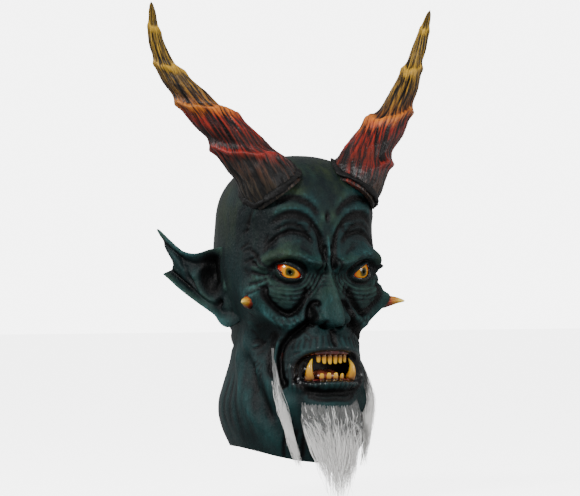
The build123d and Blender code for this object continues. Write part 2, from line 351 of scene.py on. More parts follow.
# %% Shared effects
streaks, brush_in, brush_out = new_group(
    "brush_streaks",
    [("Vector", "NodeSocketVector", (0, 0, 0)), ("Relief", "NodeSocketFloat", 0.0),
     ("Scale", "NodeSocketFloat", 120.0), ("Reach", "NodeSocketFloat", 0.5),
     ("Softness", "NodeSocketFloat", 0.35)],
    [("Mask", "NodeSocketFloat")])
stretch = add(streaks, "ShaderNodeMapping")
stretch.inputs["Scale"].default_value = (1.0, 1.0, 0.22)
stretch.inputs["Rotation"].default_value = (0.3, 0.35, 0.2)
streaks.links.new(brush_in.outputs["Vector"], stretch.inputs["Vector"])
bristles = noise(streaks, stretch.outputs[0], Detail=6, Roughness=0.65)
streaks.links.new(brush_in.outputs["Scale"], bristles.node.inputs["Scale"])
lifted = math_node(streaks, "ADD", brush_in.outputs["Relief"], bristles)
start = math_node(streaks, "SUBTRACT", 1.5, brush_in.outputs["Reach"])
over = math_node(streaks, "SUBTRACT", lifted, start)
painted = math_node(streaks, "DIVIDE", over, brush_in.outputs["Softness"], clamp=True)
streaks.links.new(painted, brush_out.inputs["Mask"])

skin_grain, grain_in, grain_out = new_group(
    "skin_grain",
    [("Vector", "NodeSocketVector", (0, 0, 0)), ("Scale", "NodeSocketFloat", 300.0),
     ("Wrinkle", "NodeSocketFloat", 0.5)],
    [("Height", "NodeSocketFloat")])
pores = add(skin_grain, "ShaderNodeTexVoronoi", feature="DISTANCE_TO_EDGE")
skin_grain.links.new(grain_in.outputs["Vector"], pores.inputs["Vector"])
skin_grain.links.new(grain_in.outputs["Scale"], pores.inputs["Scale"])
folds = noise(skin_grain, grain_in.outputs["Vector"], Detail=8, Roughness=0.7, Distortion=0.6)
fold_scale = math_node(skin_grain, "MULTIPLY", grain_in.outputs["Scale"], 0.35)
skin_grain.links.new(fold_scale, folds.node.inputs["Scale"])
pore_height = math_node(skin_grain, "MULTIPLY", pores.outputs["Distance"], 0.5)
fold_height = math_node(skin_grain, "MULTIPLY", folds, grain_in.outputs["Wrinkle"])
skin_grain.links.new(math_node(skin_grain, "ADD", pore_height, fold_height), grain_out.inputs["Height"])
print("groups:", [g.name for g in bpy.data.node_groups])


def new_material(name):
    material = bpy.data.materials.new(name)
    material.use_nodes = True
    tree = material.node_tree
    return material, tree, tree.nodes["Principled BSDF"], add(tree, "ShaderNodeTexCoord").outputs["Object"]


def place_group(tree, group, values, **links):
    node = add(tree, "ShaderNodeGroup", node_tree=group)
    for key, value in values.items():
        node.inputs[key].default_value = value
    for key, source in links.items():
        tree.links.new(source, node.inputs[key])
    return node


def bump(tree, shader, height, strength, distance):
    node = add(tree, "ShaderNodeBump")
    node.inputs["Strength"].default_value = strength
    node.inputs["Distance"].default_value = distance
    tree.links.new(height, node.inputs["Height"])
    tree.links.new(node.outputs[0], shader.inputs["Normal"])


def attribute(tree, name):
    return add(tree, "ShaderNodeAttribute", attribute_name=name).outputs["Fac"]


# %% Rubber skin
BLACK, WHITE = (0, 0, 0), (1, 1, 1)


def brush_coat(tree, where, relief, scale, reach, softness):
    """Where one pass of the dry brush leaves paint."""
    values = {"Scale": scale, "Reach": reach, "Softness": softness}
    return place_group(tree, streaks, values, Vector=where, Relief=relief).outputs["Mask"]


def skin_material(name, dark, middle, light, moss):
    """Dark rubber, a broad coat of middle that turns mossy on the brow, a thin coat of light, and painted shade
    in the creases.
    """
    material, tree, shader, where = new_material(name)
    relief, wet = attribute(tree, "relief"), attribute(tree, "wet")
    broad = noise(tree, where, Scale=11, Detail=4, Roughness=0.6)
    first = brush_coat(tree, where, relief, 70.0, 1.22, 0.62)
    second = brush_coat(tree, where, relief, 260.0, 0.86, 0.50)
    patch = ramp(tree, broad, [(0.43, BLACK), (0.58, WHITE)])
    high = add(tree, "ShaderNodeSeparateXYZ")
    tree.links.new(where, high.inputs[0])
    on_brow = math_node(tree, "MULTIPLY", math_node(tree, "ADD", high.outputs["Z"], 0.19), 7.0, clamp=True)
    body = blend_colour(tree, math_node(tree, "MULTIPLY", patch, on_brow), middle, moss)
    colour = blend_colour(tree, first, dark, body)
    worn = ramp(tree, broad, [(0.34, (0.85, 0.85, 0.85)), (0.60, (0.25, 0.25, 0.25))])
    colour = blend_colour(tree, math_node(tree, "MULTIPLY", second, worn), colour, light)
    # Painted shade: where relief is low, in the creases and bowls, the colour is darkened further.
    crease = ramp(tree, math_node(tree, "ADD", relief, 0.5), [(0.06, (0.05, 0.05, 0.05)), (0.46, WHITE)])
    colour = blend_colour(tree, 1.0, colour, crease, "MULTIPLY")
    colour = blend_colour(tree, wet, colour, (0.003, 0.003, 0.004))
    tree.links.new(colour, shader.inputs["Base Color"])
    rough = math_node(tree, "SUBTRACT", 0.46, math_node(tree, "MULTIPLY", wet, 0.32))
    rough = math_node(tree, "ADD", rough, math_node(tree, "MULTIPLY", first, 0.16))
    tree.links.new(rough, shader.inputs["Roughness"])
    shader.inputs["Specular IOR Level"].default_value = 0.16
    tree.links.new(math_node(tree, "MULTIPLY", wet, 0.5), shader.inputs["Coat Weight"])
    shader.inputs["Coat Roughness"].default_value = 0.08
    grain = place_group(tree, skin_grain, {"Scale": 300.0, "Wrinkle": 1.3}, Vector=where)
    bump(tree, shader, grain.outputs["Height"], 0.7, 0.0018)
    return material


def black_rubber(name, shade, specular, grain_values, rough, rough_span, strength, distance):
    """Rubber as cast, without paint."""
    material, tree, shader, where = new_material(name)
    shader.inputs["Base Color"].default_value = (shade, shade, shade, 1)
    shader.inputs["Specular IOR Level"].default_value = specular
    height = place_group(tree, skin_grain, grain_values, Vector=where).outputs["Height"]
    uneven = math_node(tree, "MULTIPLY", height, rough_span)
    tree.links.new(math_node(tree, "ADD", rough, uneven), shader.inputs["Roughness"])
    bump(tree, shader, height, strength, distance)
    return material


skin_paint = skin_material("dry_brushed_rubber_with_painted_crease_shade", (0.0025, 0.0080, 0.0090), (0.0090, 0.0400, 0.0400),
                           (0.050, 0.150, 0.155), (0.0330, 0.0500, 0.0180))
bare_rubber = black_rubber("bare_rubber", 0.004, 0.1, {"Scale": 120.0, "Wrinkle": 1.0}, 0.45, 0.2, 0.5, 0.001)
seam_paint = black_rubber("black_liquid_rubber", 0.0025, 0.2, {"Scale": 180.0, "Wrinkle": 1.5}, 0.30, 0.3, 0.8,
                          0.002)
print("skin material nodes:", len(skin_paint.node_tree.nodes))

# %% [markdown]
# ## The head casting
# The head is one hollow sheet of rubber. A grid is wrapped round it: columns are turned from straight
# ahead and rows are heights, closer together on the face. The bare form is a stack of rounded sections.
# Over it go the brow, sockets, nose, muzzle, lips, cheeks, jaw and neck as lumps and strokes, as they
# would be pressed into clay. Openings for the eyes and mouth are cut out of the grid, and Solidify gives
# the rubber its thickness.

# %% The bare form: rounded sections from the temples down, and a rounded crown
HALF_WIDTH = 94.0
CROWN_Z, TEMPLE_Z = 23.2, -58.0
# Height, half width as a share, depth in front, depth behind, squareness of the front.
SECTIONS = np.array([
    (-58.0, 0.98, 76.0, 109.0, 2.6), (-88.0, 1.00, 78.0, 110.0, 2.7), (-112.0, 0.99, 76.0, 107.0, 2.8),
    (-136.0, 0.95, 77.0, 103.0, 2.6), (-162.0, 0.87, 81.0, 98.0, 2.3), (-184.0, 0.79, 87.0, 95.0, 2.1),
    (-204.0, 0.75, 93.0, 95.0, 1.95), (-224.0, 0.76, 95.0, 101.0, 1.9), (-248.0, 0.83, 97.0, 109.0, 1.75),
    (-270.0, 0.92, 97.0, 111.0, 1.6), (-288.0, 0.94, 93.0, 107.0, 1.6), (-306.0, 0.90, 81.0, 99.0, 1.75),
    (-330.0, 0.78, 72.0, 86.0, 2.0), (-356.0, 0.68, 66.0, 80.0, 2.0)])
HEM_ARCH, HEM_TILT = 230.0, math.tan(math.radians(4))
HEM_FRONT_Y, HEM_FRONT_Z = -70.0, -342.0


def form_values(z):
    levels = np.arange(-360.0, -40.0, 2.0)
    soft = np.exp(-((np.arange(-8, 9) / 3.5) ** 2))
    soft /= soft.sum()
    t = np.clip((z - TEMPLE_Z) / (CROWN_Z - TEMPLE_Z), 0, 1)
    crown = (1 - t**2.2) ** (1 / 2.2)
    values = []
    for column in range(1, 5):
        raw = np.interp(levels, SECTIONS[::-1, 0], SECTIONS[::-1, column])
        padded = np.concatenate([np.full(8, raw[0]), raw, np.full(8, raw[-1])])
        value = np.interp(z, levels, np.convolve(padded, soft, "valid"))
        values.append(value * crown if column < 4 else value)
    return values


def bare_radius(turn, z):
    """Distance of the bare form from the axis; turn in degrees from straight ahead."""
    share, front, back, squareness = form_values(z)
    s, c = np.abs(np.sin(np.radians(turn))), np.cos(np.radians(turn))
    half = np.maximum(HALF_WIDTH * share, 1e-3)
    depth = np.maximum(np.where(c > 0, front, back), 1e-3)
    power = np.where(c > 0, squareness, 2.2)
    return ((s / half) ** power + (np.abs(c) / depth) ** power) ** (-1 / power)


# %% Eyes and mouth: where they are and how far a point is from their edge
EYE_TURN, EYE_Z = 33.6, -115.0  # degrees from straight ahead, and height
EYE_BALL = np.array([42.8, -56.1, -116.0])  # middle of the left ball, as in the frame
EYE_BALL_RADIUS = 21.0
ARC = 1.6  # millimetres of surface for each degree
EYE_LEAN = 15.0
EYE_REACH = 17.5  # half the length of the gap between the lids
MOUTH_Z = -228.0


def eye_distance(u, v):
    """Roughly how far outside the gap between the lids a point is; negative is in the gap."""
    c, s = math.cos(math.radians(EYE_LEAN)), math.sin(math.radians(EYE_LEAN))
    p = (u - EYE_TURN * ARC) * c + (v - EYE_Z) * s
    q = (v - EYE_Z) * c - (u - EYE_TURN * ARC) * s
    reach = np.clip(np.abs(p) / EYE_REACH, 0, 1.2)
    upper = 6.0 * (1 - reach**2.6) + 0.15 * p
    lower = -8.0 * (1 - reach**2.2)
    beyond = np.maximum(np.abs(p) - EYE_REACH, 0)
    return np.maximum(np.maximum(q - upper, lower - q), -9.0) + beyond


def mouth_distance(u, v):
    """The same for the mouth."""
    q = v - MOUTH_Z - 1.5 + 0.0035 * u**2
    return ((np.abs(u / 42.0) ** 2.8 + np.abs(q / 16.0) ** 2.4) ** (1 / 2.6) - 1) * 16.0


# %% The features, as lumps and strokes added to big and fine, at surface arc u from the middle and height v
def shape_forehead(u, v, big, fine):
    big += lump(u, v, 0, -60, 26, 20, 1.5) + lump(u, v, 98, -75, 30, 34, -5.0)
    big += stroke(u, v, [(5, -109), (18, -105), (34, -100), (54, -94), (74, -98), (90, -116)], 9.0, 12.5, 0.08)
    big += lump(u, v, 0, -96, 9, 14, 4.0) + lump(u, v, 22, -104, 12, 8, 3.0)
    fine += stroke(u, v, [(5, -112), (9, -92), (15, -68), (34, -51), (60, -48), (82, -62)], 3.2, -4.2)
    fine += stroke(u, v, [(7, -78), (18, -60), (34, -44), (60, -41), (80, -52)], 4.5, 1.6)
    fine += stroke(u, v, [(12, -50), (28, -36), (52, -28), (78, -34)], 3.0, -2.6)
    fine += stroke(u, v, [(10, -42), (28, -28), (52, -20), (78, -26)], 4.5, 1.2)
    fine += stroke(u, v, [(20, -84), (34, -72), (56, -69), (76, -80), (88, -98)], 2.6, -3.0)
    fine += stroke(u, v, [(26, -78), (40, -63), (58, -60), (76, -70)], 2.2, -1.5)
    fine += stroke(u, v, [(4.5, -82), (5.5, -100), (8, -116)], 2.2, -4.0)
    fine += stroke(u, v, [(12, -96), (13, -108), (17, -116)], 2.0, -2.4)
    fine += stroke(u, v, [(0, -70), (0, -100)], 2.6, 1.5) + lump(u, v, 0, -51, 3.4, 4.2, -4.5)
    fine += lump(u, v, 7, -52, 4.5, 5, 1.8)
    for k in range(4):
        fine += stroke(u, v, [(0, -119 - 4.6 * k), (8, -118 - 4.6 * k), (13, -121 - 4.6 * k)], 1.5, -1.3)


def shape_eye_and_bag(u, v, from_eye, big, fine):
    socket = (1 - smoothstep(7, 24, from_eye)) * smoothstep(-3, 6, v - EYE_Z + 18)
    big -= 2.5 * socket
    upper_fold = [(30, -121), (38, -109.5), (50, -103.5), (62, -102.5), (74, -109), (80, -119)]
    fine += stroke(u, v, upper_fold, 2.2, -5.0)
    fine += stroke(u, v, [(36, -126), (46, -129.5), (58, -129), (70, -124), (77, -117)], 2.0, -3.2)
    # The bag under the eye, with its rings
    big += lump(u, v, 54, -142, 25, 17, 6.5, -14)
    rim = [(30, -133), (36, -148), (46, -160), (58, -165), (70, -160), (79, -146), (82, -130)]
    fine += stroke(u, v, rim, 3.4, -6.0, 0.08)
    ring = np.hypot((u - 53) / 1.1, v + 110)
    fan = smoothstep(17, 23, ring) * (1 - smoothstep(40, 47, ring)) * (v < -118)
    rings = 0.95 * np.sin(ring * TAU / 5.2 + 0.9 * np.sin(u / 7.0))
    fine += rings * fan * (1 - 0.4 * smoothstep(40, 56, u))
    # Crow's feet and temple folds
    crows_feet = [(-112, -104, -88), (-115, -111, -101), (-119, -119, -115), (-123, -128, -131),
                  (-127, -137, -146)]
    for k, (z0, z1, z2) in enumerate(crows_feet):
        fine += stroke(u, v, [(76 + k % 2 * 3, z0), (88, z1), (104, z2)], 1.9, -2.2)
        fine += stroke(u, v, [(78, z0 - 4), (90, z1 - 3.5), (103, z2 - 5)], 2.6, 1.1)


def shape_nose(turn, v, big, fine):
    x = np.abs(88.0 * np.sin(np.radians(np.clip(turn, -90, 90))))
    for z0, height, width, tall in ((-112, 3.0, 10, 10), (-128, 10.5, 8.5, 13), (-144, 17.5, 9.0, 13),
                                    (-157, 18.0, 10.5, 10), (-168, 23.5, 10.0, 8.5)):
        big += lump(x, v, 0, z0, width, tall, height)
    big += lump(x, v, 19.0, -167, 8.0, 8.5, 14.5, 20) + lump(x, v, 12, -156, 9, 9, 4.0)
    fine += stroke(x, v, [(12, -152), (23, -153), (30, -163), (28, -174), (20, -179)], 2.6, -5.5, 0.1)
    big += lump(x, v, 10.5, -177.5, 5.0, 3.6, -11.0)
    fine += stroke(x, v, [(9, -165), (11.5, -171), (10, -176)], 1.8, -2.4)


def shape_cheek(u, v, big, fine):
    """The cheek, the fold from nose to mouth corner and the ridge outside it."""
    big += lump(u, v, 84, -140, 20, 18, 6.0) + lump(u, v, 98, -152, 20, 19, 12.5)
    fold = [(22, -153), (30, -172), (42, -184), (54, -193), (64, -205), (69, -220), (66, -240), (58, -254)]
    fine += stroke(u, v, fold, 4.4, -7.5, 0.07)
    outer_ridge = [(28, -158), (42, -172), (60, -178), (78, -170), (90, -156), (90, -134)]
    big += stroke(u, v, outer_ridge, 6.5, 7.5, 0.1)
    fine += stroke(u, v, [(34, -166), (46, -176), (62, -180), (78, -173), (88, -158)], 3.0, 1.4)
    fine += stroke(u, v, [(74, -184), (82, -204), (84, -224), (78, -244)], 4.6, -3.6)
    fine += stroke(u, v, [(72, -196), (76, -214), (75, -236)], 4.0, 2.4)
    big += lump(u, v, 92, -196, 22, 24, -7.0)
    for k in range(5):
        fine += stroke(u, v, [(34 + 8 * k, -176 - 2.5 * k), (44 + 8 * k, -171 + 1.0 * k)], 1.8, -1.3)


def shape_muzzle(u, v, from_mouth, big, fine):
    big += lump(u, v, 17, -197, 16, 12, 5.5) + lump(u, v, 40, -204, 15, 13, 3.0)
    fine += stroke(u, v, [(0, -181), (0, -192), (0, -206)], 3.4, -3.6, 0.2)
    for k in range(7):
        fine += stroke(u, v, [(7 + 6.5 * k, -188 - 1.3 * k), (8 + 7.2 * k, -206 - 0.4 * k)], 1.6, -1.2)
    lip = np.exp(-(((from_mouth - 6.0) / 4.2) ** 2))
    big += lip * np.where(v < MOUTH_Z, 6.5, 3.8) * (1 - 0.35 * smoothstep(26, 44, u))
    big -= 7.0 * (1 - smoothstep(0.0, 4.2, from_mouth))
    fine += 0.8 * np.cos(u * TAU / 6.0 + 0.6 * np.sin(v / 3)) * lip * (v < MOUTH_Z + 4)
    fine += stroke(u, v, [(-2, -259), (18, -259), (36, -253), (50, -241)], 3.4, -5.0, 0.05)


def shape_chin_and_neck(u, v, big, fine):
    big += lump(u, v, 0, -279, 30, 15, 5.5) + lump(u, v, 16, -272, 14, 12, 2.0)
    fine += stroke(u, v, [(-2, -266), (16, -267), (32, -262)], 2.2, -2.2, 0.05)
    big += stroke(u, v, [(150, -188), (122, -212), (96, -236), (70, -262), (40, -286)], 11, 6.0, 0.15)
    # Neck: a cord from behind the ear to the throat, hollows each side of it, and loose folds
    big += stroke(u, v, [(170, -200), (136, -246), (96, -296), (56, -336)], 12, 6.0, 0.15)
    big += stroke(u, v, [(132, -206), (104, -252), (74, -296)], 9, -5.0, 0.15)
    for k in range(7):
        shift = 17 * k
        fine += stroke(u, v, [(84 + shift, -214 - 3 * k), (72 + shift, -262), (52 + shift, -318)], 3.2, -0.8, 0.4)
        fine += stroke(u, v, [(92 + shift, -212 - 3 * k), (80 + shift, -262), (60 + shift, -318)], 4.8, 0.4, 0.4)
    for k in range(4):
        fine += stroke(u, v, [(18 + 13 * k, -300), (22 + 14 * k, -318), (20 + 15 * k, -338)], 2.6, -2.0)
    # Back of the head: rolls of the nape
    for z0 in (-176, -192, -209):
        fine += stroke(u, v, [(190, z0 + 8), (240, z0), (292, z0 - 1)], 4.0, -2.6, 0.1)


def add_small_folds(u, v, from_eye, from_mouth, fine):
    """Loose small folds everywhere on the face, laid along the big ones."""
    marks = np.random.default_rng(11)
    for _ in range(130):
        u0, v0 = marks.uniform(14, 118), marks.uniform(-262, -34)
        lean = 0.5 * math.sin(u0 / 17) + 0.9 * math.sin(v0 / 31) + marks.normal(0, 0.25)
        half = marks.uniform(4, 11)
        du, dv = half * math.cos(lean), half * math.sin(lean)
        line = [(u0 - du, v0 - dv), (u0, v0 + marks.uniform(-1.5, 1.5)), (u0 + du, v0 + dv)]
        mark = stroke(u, v, line, 1.5, marks.choice([-1.2, -0.9, 0.8]))
        fine += mark * smoothstep(5, 9, from_mouth) * smoothstep(6, 10, from_eye)


def features(turn, z):
    """How far each point stands off the bare form, and how much of that is fine relief."""
    u = np.abs(turn) * ARC
    wobble = 0.7 * np.sin(z / 11.0 + np.sign(turn) * 1.3) + 0.5 * np.sin(turn / 9.0)
    u = u + wobble * smoothstep(6, 20, u)
    big, fine = np.zeros_like(u), np.zeros_like(u)
    from_eye, from_mouth = eye_distance(u, z), mouth_distance(u, z)
    shape_forehead(u, z, big, fine)
    shape_eye_and_bag(u, z, from_eye, big, fine)
    shape_nose(turn, z, big, fine)
    shape_cheek(u, z, big, fine)
    shape_muzzle(u, z, from_mouth, big, fine)
    shape_chin_and_neck(u, z, big, fine)
    add_small_folds(u, z, from_eye, from_mouth, fine)
    keep = smoothstep(1.5, 8, from_eye)
    return big * keep, fine * keep * smoothstep(-2, 3, from_mouth), from_eye, from_mouth


# %% The whole outside of the head
def head_surface(turn, z):
    """Points of the head's outside in millimetres, with the relief and the wetness of each."""
    radius = bare_radius(turn, z)
    big, fine, from_eye, from_mouth = features(turn, z)
    radius = radius + big + fine
    angle = np.radians(turn)
    ahead = np.array([np.sin(angle), -np.cos(angle)])
    # Round each eye the skin closes in on the ball
    along = np.abs(ahead[0]) * EYE_BALL[0] + ahead[1] * EYE_BALL[1]
    missed = np.maximum(EYE_BALL[0] ** 2 + EYE_BALL[1] ** 2 - along**2, 0) + (z - EYE_BALL[2]) ** 2
    lid = 1.2 + 2.4 * np.exp(-(((from_eye - 2.6) / 1.7) ** 2))
    on_ball = along + np.sqrt(np.maximum((EYE_BALL_RADIUS + lid) ** 2 - missed, 25.0))
    close = (1 - smoothstep(1.5, 9.5, from_eye)) * (np.cos(angle) > 0)
    radius = radius * (1 - close) + on_ball * close
    cover = along + np.sqrt(np.maximum((EYE_BALL_RADIUS + 1.6) ** 2 - missed, 0.0))
    covered = (missed < (EYE_BALL_RADIUS - 0.5) ** 2) & (np.cos(angle) > 0)
    radius = np.where(covered, np.maximum(radius, cover), radius)
    # The nose tip and the brow hang, and the lips curve
    u = np.abs(turn) * ARC
    drop = lump(u, z, 0, -167, 17, 11, -9.5) + lump(u, z, 30, -168, 14, 9, -2.5)
    drop += stroke(u, z, [(8, -100), (30, -94), (56, -92), (76, -102)], 7, -3.0)
    drop += lump(u, z, 0, -208, 44, 6, -1.5) + lump(u, z, 0, -249, 44, 7, 2.0)
    points = np.stack([radius * ahead[0], radius * ahead[1], z + drop], 1)
    relief = np.clip(fine / 4.5 + np.clip((big - 3.0) / 30.0, -0.22, 0.16), -1, 1)
    wet = 1 - smoothstep(2.5, 8.5, from_mouth) + 0.85 * (1 - smoothstep(0.3, 4.0, from_eye))
    wet = np.clip(wet, 0, 1)
    return points, relief, wet


# %% Wrap the grid round the head and cut the openings
HEAD_COLUMNS, HEAD_ROWS = 232, 198
SKIN_WALL = 3.0
CROWN_START = 0.86  # share of the rows below the crown
NECK_Z = -262.0  # below this the rows spread to meet the hem


def head_turn(across):
    s = 2 * across - 1
    return 180 * (0.58 * s + 0.42 * s**3)


def head_height(along, turn):
    """Rows: dense on the face, rounded over at the crown, and ending at the arched hem."""
    z = np.interp(along, [0.0, 0.09, CROWN_START], [HEM_FRONT_Z, -300.0, TEMPLE_Z])
    t = np.clip((along - CROWN_START) / (1 - CROWN_START), 0, 1)
    z = np.where(along > CROWN_START, TEMPLE_Z + (CROWN_Z - TEMPLE_Z) * np.sin(t * math.pi / 2), z)
    edge = bare_radius(turn, np.full_like(turn, -332.0))
    side, back = edge * np.sin(np.radians(turn)), -edge * np.cos(np.radians(turn)) - HEM_FRONT_Y
    hem = HEM_FRONT_Z + HEM_ARCH - np.sqrt(HEM_ARCH**2 - side**2) + HEM_TILT * back
    low = np.clip((NECK_Z - z) / (NECK_Z - HEM_FRONT_Z), 0, 1)
    return np.where(z < NECK_Z, NECK_Z + low * (hem - NECK_Z), z)


def pull_to_edge(turn, height, index, distance):
    """Slides one point of the grid onto the edge of an opening, in a few steps, if it is near it."""
    step = 0.2
    for _ in range(3):
        a, b = np.array([abs(turn[index]) * ARC]), np.array([height[index]])
        off = distance(a, b)[0]
        if abs(off) > 6:
            return
        du = (distance(a + step, b)[0] - off) / step
        dv = (distance(a, b + step)[0] - off) / step
        size = max(du * du + dv * dv, 0.2)
        if turn[index] != 0:
            turn[index] -= math.copysign(off * du / size / ARC, turn[index])
        height[index] -= off * dv / size


def outwards(turn):
    """The level direction away from the axis at each turn."""
    angle = np.radians(turn)
    return np.stack([np.sin(angle), -np.cos(angle), 0 * angle], 1)


def make_head():
    bm, across, along = new_grid(HEAD_COLUMNS, HEAD_ROWS)
    turn = head_turn(across)
    height = head_height(along, turn)
    behind = np.where(np.abs(turn) > 90, 100, 0)
    openings = [distance(np.abs(turn) * ARC, height) + behind for distance in (eye_distance, mouth_distance)]
    bm.verts.index_update()
    cut = [f for f in bm.faces if any(all(off[v.index] < 0 for v in f.verts) for off in openings)]
    doomed = set(cut)
    edge_points = {v.index for f in cut for v in f.verts if any(g not in doomed for g in v.link_faces)}
    for index in edge_points:
        pull_to_edge(turn, height, index, eye_distance)
        pull_to_edge(turn, height, index, mouth_distance)
    points, relief, wet = head_surface(turn, height)
    points += (0.5 * ripple(*points.T, 46, 3))[:, None] * outwards(turn)
    lay(bm, points)
    keep_values(bm, {"relief": relief, "wet": wet})
    bmesh.ops.delete(bm, geom=cut, context="FACES")
    head = finish_piece(bm, "head_casting", skin_paint, ["head_skin"], closed=False)
    head.data.materials.append(bare_rubber)
    give_wall(head, frontness, SKIN_WALL).material_offset = 1
    print("head", len(head.data.vertices), "points before its wall")


make_head()


# %% [markdown]
# ## Horns
# Each horn is a tube that follows the frame's middle line. Ridges ring it at a few heights, each with a
# sharp step above and a long slope below, and splits run between them like the grain of bark. The foot is
# pressed against the skull, so the horn ends inside the thickness of the skin. The right horn's line
# mirrors the left one's, and its rings lie a little more level.


# %% A tube along a line, used for horns, tusks, gums and spikes
LINE_STEPS = 300


def unit(rows):
    return rows / np.linalg.norm(rows, axis=1)[:, None]


def framed_line(points, count):
    """Even points along a smooth line, with two directions square to it that don't twist."""
    line = flowing(points, 400)
    length = np.concatenate([[0], np.cumsum(np.linalg.norm(np.diff(line, axis=0), axis=1))])
    line = np.stack([np.interp(np.linspace(0, length[-1], count), length, line[:, k]) for k in range(3)], 1)
    ahead = unit(np.gradient(line, axis=0))
    side = np.zeros_like(line)
    side[0] = np.cross(ahead[0], [0, 1, 0.01])
    for k in range(1, count):
        side[k] = side[k - 1] - ahead[k] * (side[k - 1] @ ahead[k])
    side = unit(side)
    return line, side, np.cross(ahead, side)


def tube_points(points, across, along, radius):
    """Places a grid's points round a line. The radius may vary from point to point."""
    tables = framed_line(points, LINE_STEPS)
    row = along * (LINE_STEPS - 1)
    low = np.minimum(row.astype(int), LINE_STEPS - 2)
    f = (row - low)[:, None]
    middle, a, b = (table[low] * (1 - f) + table[low + 1] * f for table in tables)
    angle = TAU * across
    return middle + (np.cos(angle) * radius)[:, None] * a + (np.sin(angle) * radius)[:, None] * b


def skin_radius(points):
    """Distance from the axis to the skin in the direction of each point."""
    turn = np.degrees(np.arctan2(points[:, 0], -points[:, 1]))
    z = np.clip(points[:, 2], HEM_FRONT_Z, CROWN_Z - 0.01)
    big, fine, _, _ = features(turn, z)
    return np.where(points[:, 2] > CROWN_Z, 0, bare_radius(turn, z) + big + fine)


def press_on_skin(points, sink):
    """Moves points that lie inside the head out to just under its surface."""
    out = np.hypot(points[:, 0], points[:, 1])
    wanted = np.maximum(out, skin_radius(points) - sink)
    return points * np.stack([wanted / out, wanted / out, np.ones_like(out)], 1)


# %% Horn form
HORN_LINE = [(46, -40, -26), (66, -33, 2), (98, -20, 41), (125, -9, 70), (151, 6, 101), (169, 17, 131),
             (181, 18, 162), (190, 10, 204)]
HORN_ALONG = [0, 0.08, 0.15, 0.22, 0.30, 0.40, 0.50, 0.60, 0.70, 0.80, 0.88, 0.95, 0.985, 1.0]
HORN_RADIUS = [33, 35, 33, 29, 26, 23, 19.4, 16.0, 12.6, 9.6, 7.2, 4.6, 2.4, 0.0]
RIDGE_Z = [-25, 29, 79, 124, 168, 214]  # heights of the ridges
RIDGE_TILT = {"left": 0.28, "right": 0.10}  # how far a ridge climbs for each millimetre outwards
RIDGE_MIDDLE_X = 142
HORN_SEED = {"left": 5, "right": 8}
HORN_TWIST = 2.2
HORN_COLUMNS, HORN_ROWS = 144, 330


def horn_surface(across, along, seed, rise):
    """Radius and relief of a horn; rise is the height of each point of its bare tube."""
    base = np.interp(along, HORN_ALONG, HORN_RADIUS)
    angle = TAU * across
    waves = np.random.default_rng(seed)
    turns = np.interp(rise, RIDGE_Z, np.arange(len(RIDGE_Z)) - 1.0) + 0.07 * np.sin(angle + seed)
    turns += 0.05 * np.sin(3 * angle + seed) + 0.025 * np.sin(7 * angle + 2 * seed)
    phase = turns - np.round(turns)
    body = smoothstep(0.09, 0.2, along) * (1 - smoothstep(0.93, 0.98, along))
    ridge = np.exp(-((phase / np.where(phase > 0, 0.045, 0.105)) ** 2)) * body
    waist = np.exp(-(((phase - 0.19) / np.where(phase > 0.19, 0.22, 0.10)) ** 2)) * body
    swell = base * (0.15 * ridge - 0.15 * waist + 0.04) * (1 - 0.2 * along)
    twisted = angle + HORN_TWIST * along + 0.22 * np.sin(9 * along + seed)
    splits = np.zeros_like(across)
    for count, depth in ((8, 0.8), (11, 1.0), (15, 1.0), (21, 0.9), (29, 0.6)):
        drift = 0.7 * np.sin(waves.uniform(8, 16) * along + waves.uniform(0, 6)) + waves.uniform(0, 6)
        where = np.sin(twisted * 2 + waves.uniform(8, 18) * along + waves.uniform(0, 6)) * 0.6 + 0.55
        splits += depth * np.clip(where, 0.05, 1) * (1 - np.abs(np.sin(twisted * count / 2 + drift)) ** 0.33)
    size = np.clip(base / 20, 0.2, 1.2)
    amount = (1 - 0.8 * ridge) * smoothstep(0.0, 0.05, along)
    radius = np.maximum(base + swell - 2.3 * splits * amount * size, 0)
    radius = np.where(along >= 0.999, 0, radius)
    relief = np.clip(0.75 * ridge - 0.8 * splits * amount + 0.18, -1, 1)
    return radius, relief, ridge


# Colours from foot to tip: near black, red, an orange step, brown and then yellow.
HORN_GROOVES = [
    (0.14, (0.0045, 0.003, 0.002)), (0.27, (0.010, 0.003, 0.002)), (0.36, (0.050, 0.003, 0.001)),
    (0.46, (0.110, 0.005, 0.001)), (0.505, (0.095, 0.020, 0.002)), (0.56, (0.055, 0.026, 0.004)),
    (0.70, (0.100, 0.055, 0.006)), (0.84, (0.19, 0.11, 0.010)), (1.0, (0.24, 0.15, 0.015))]
HORN_RAISED = [
    (0.17, (0.045, 0.032, 0.018)), (0.25, (0.060, 0.020, 0.009)), (0.305, (0.26, 0.008, 0.003)),
    (0.36, (0.13, 0.012, 0.003)), (0.44, (0.42, 0.014, 0.002)), (0.47, (0.60, 0.15, 0.008)),
    (0.52, (0.30, 0.13, 0.012)), (0.60, (0.42, 0.22, 0.014)), (0.68, (0.58, 0.33, 0.022)),
    (0.84, (0.62, 0.36, 0.020)), (1.0, (0.50, 0.30, 0.016))]


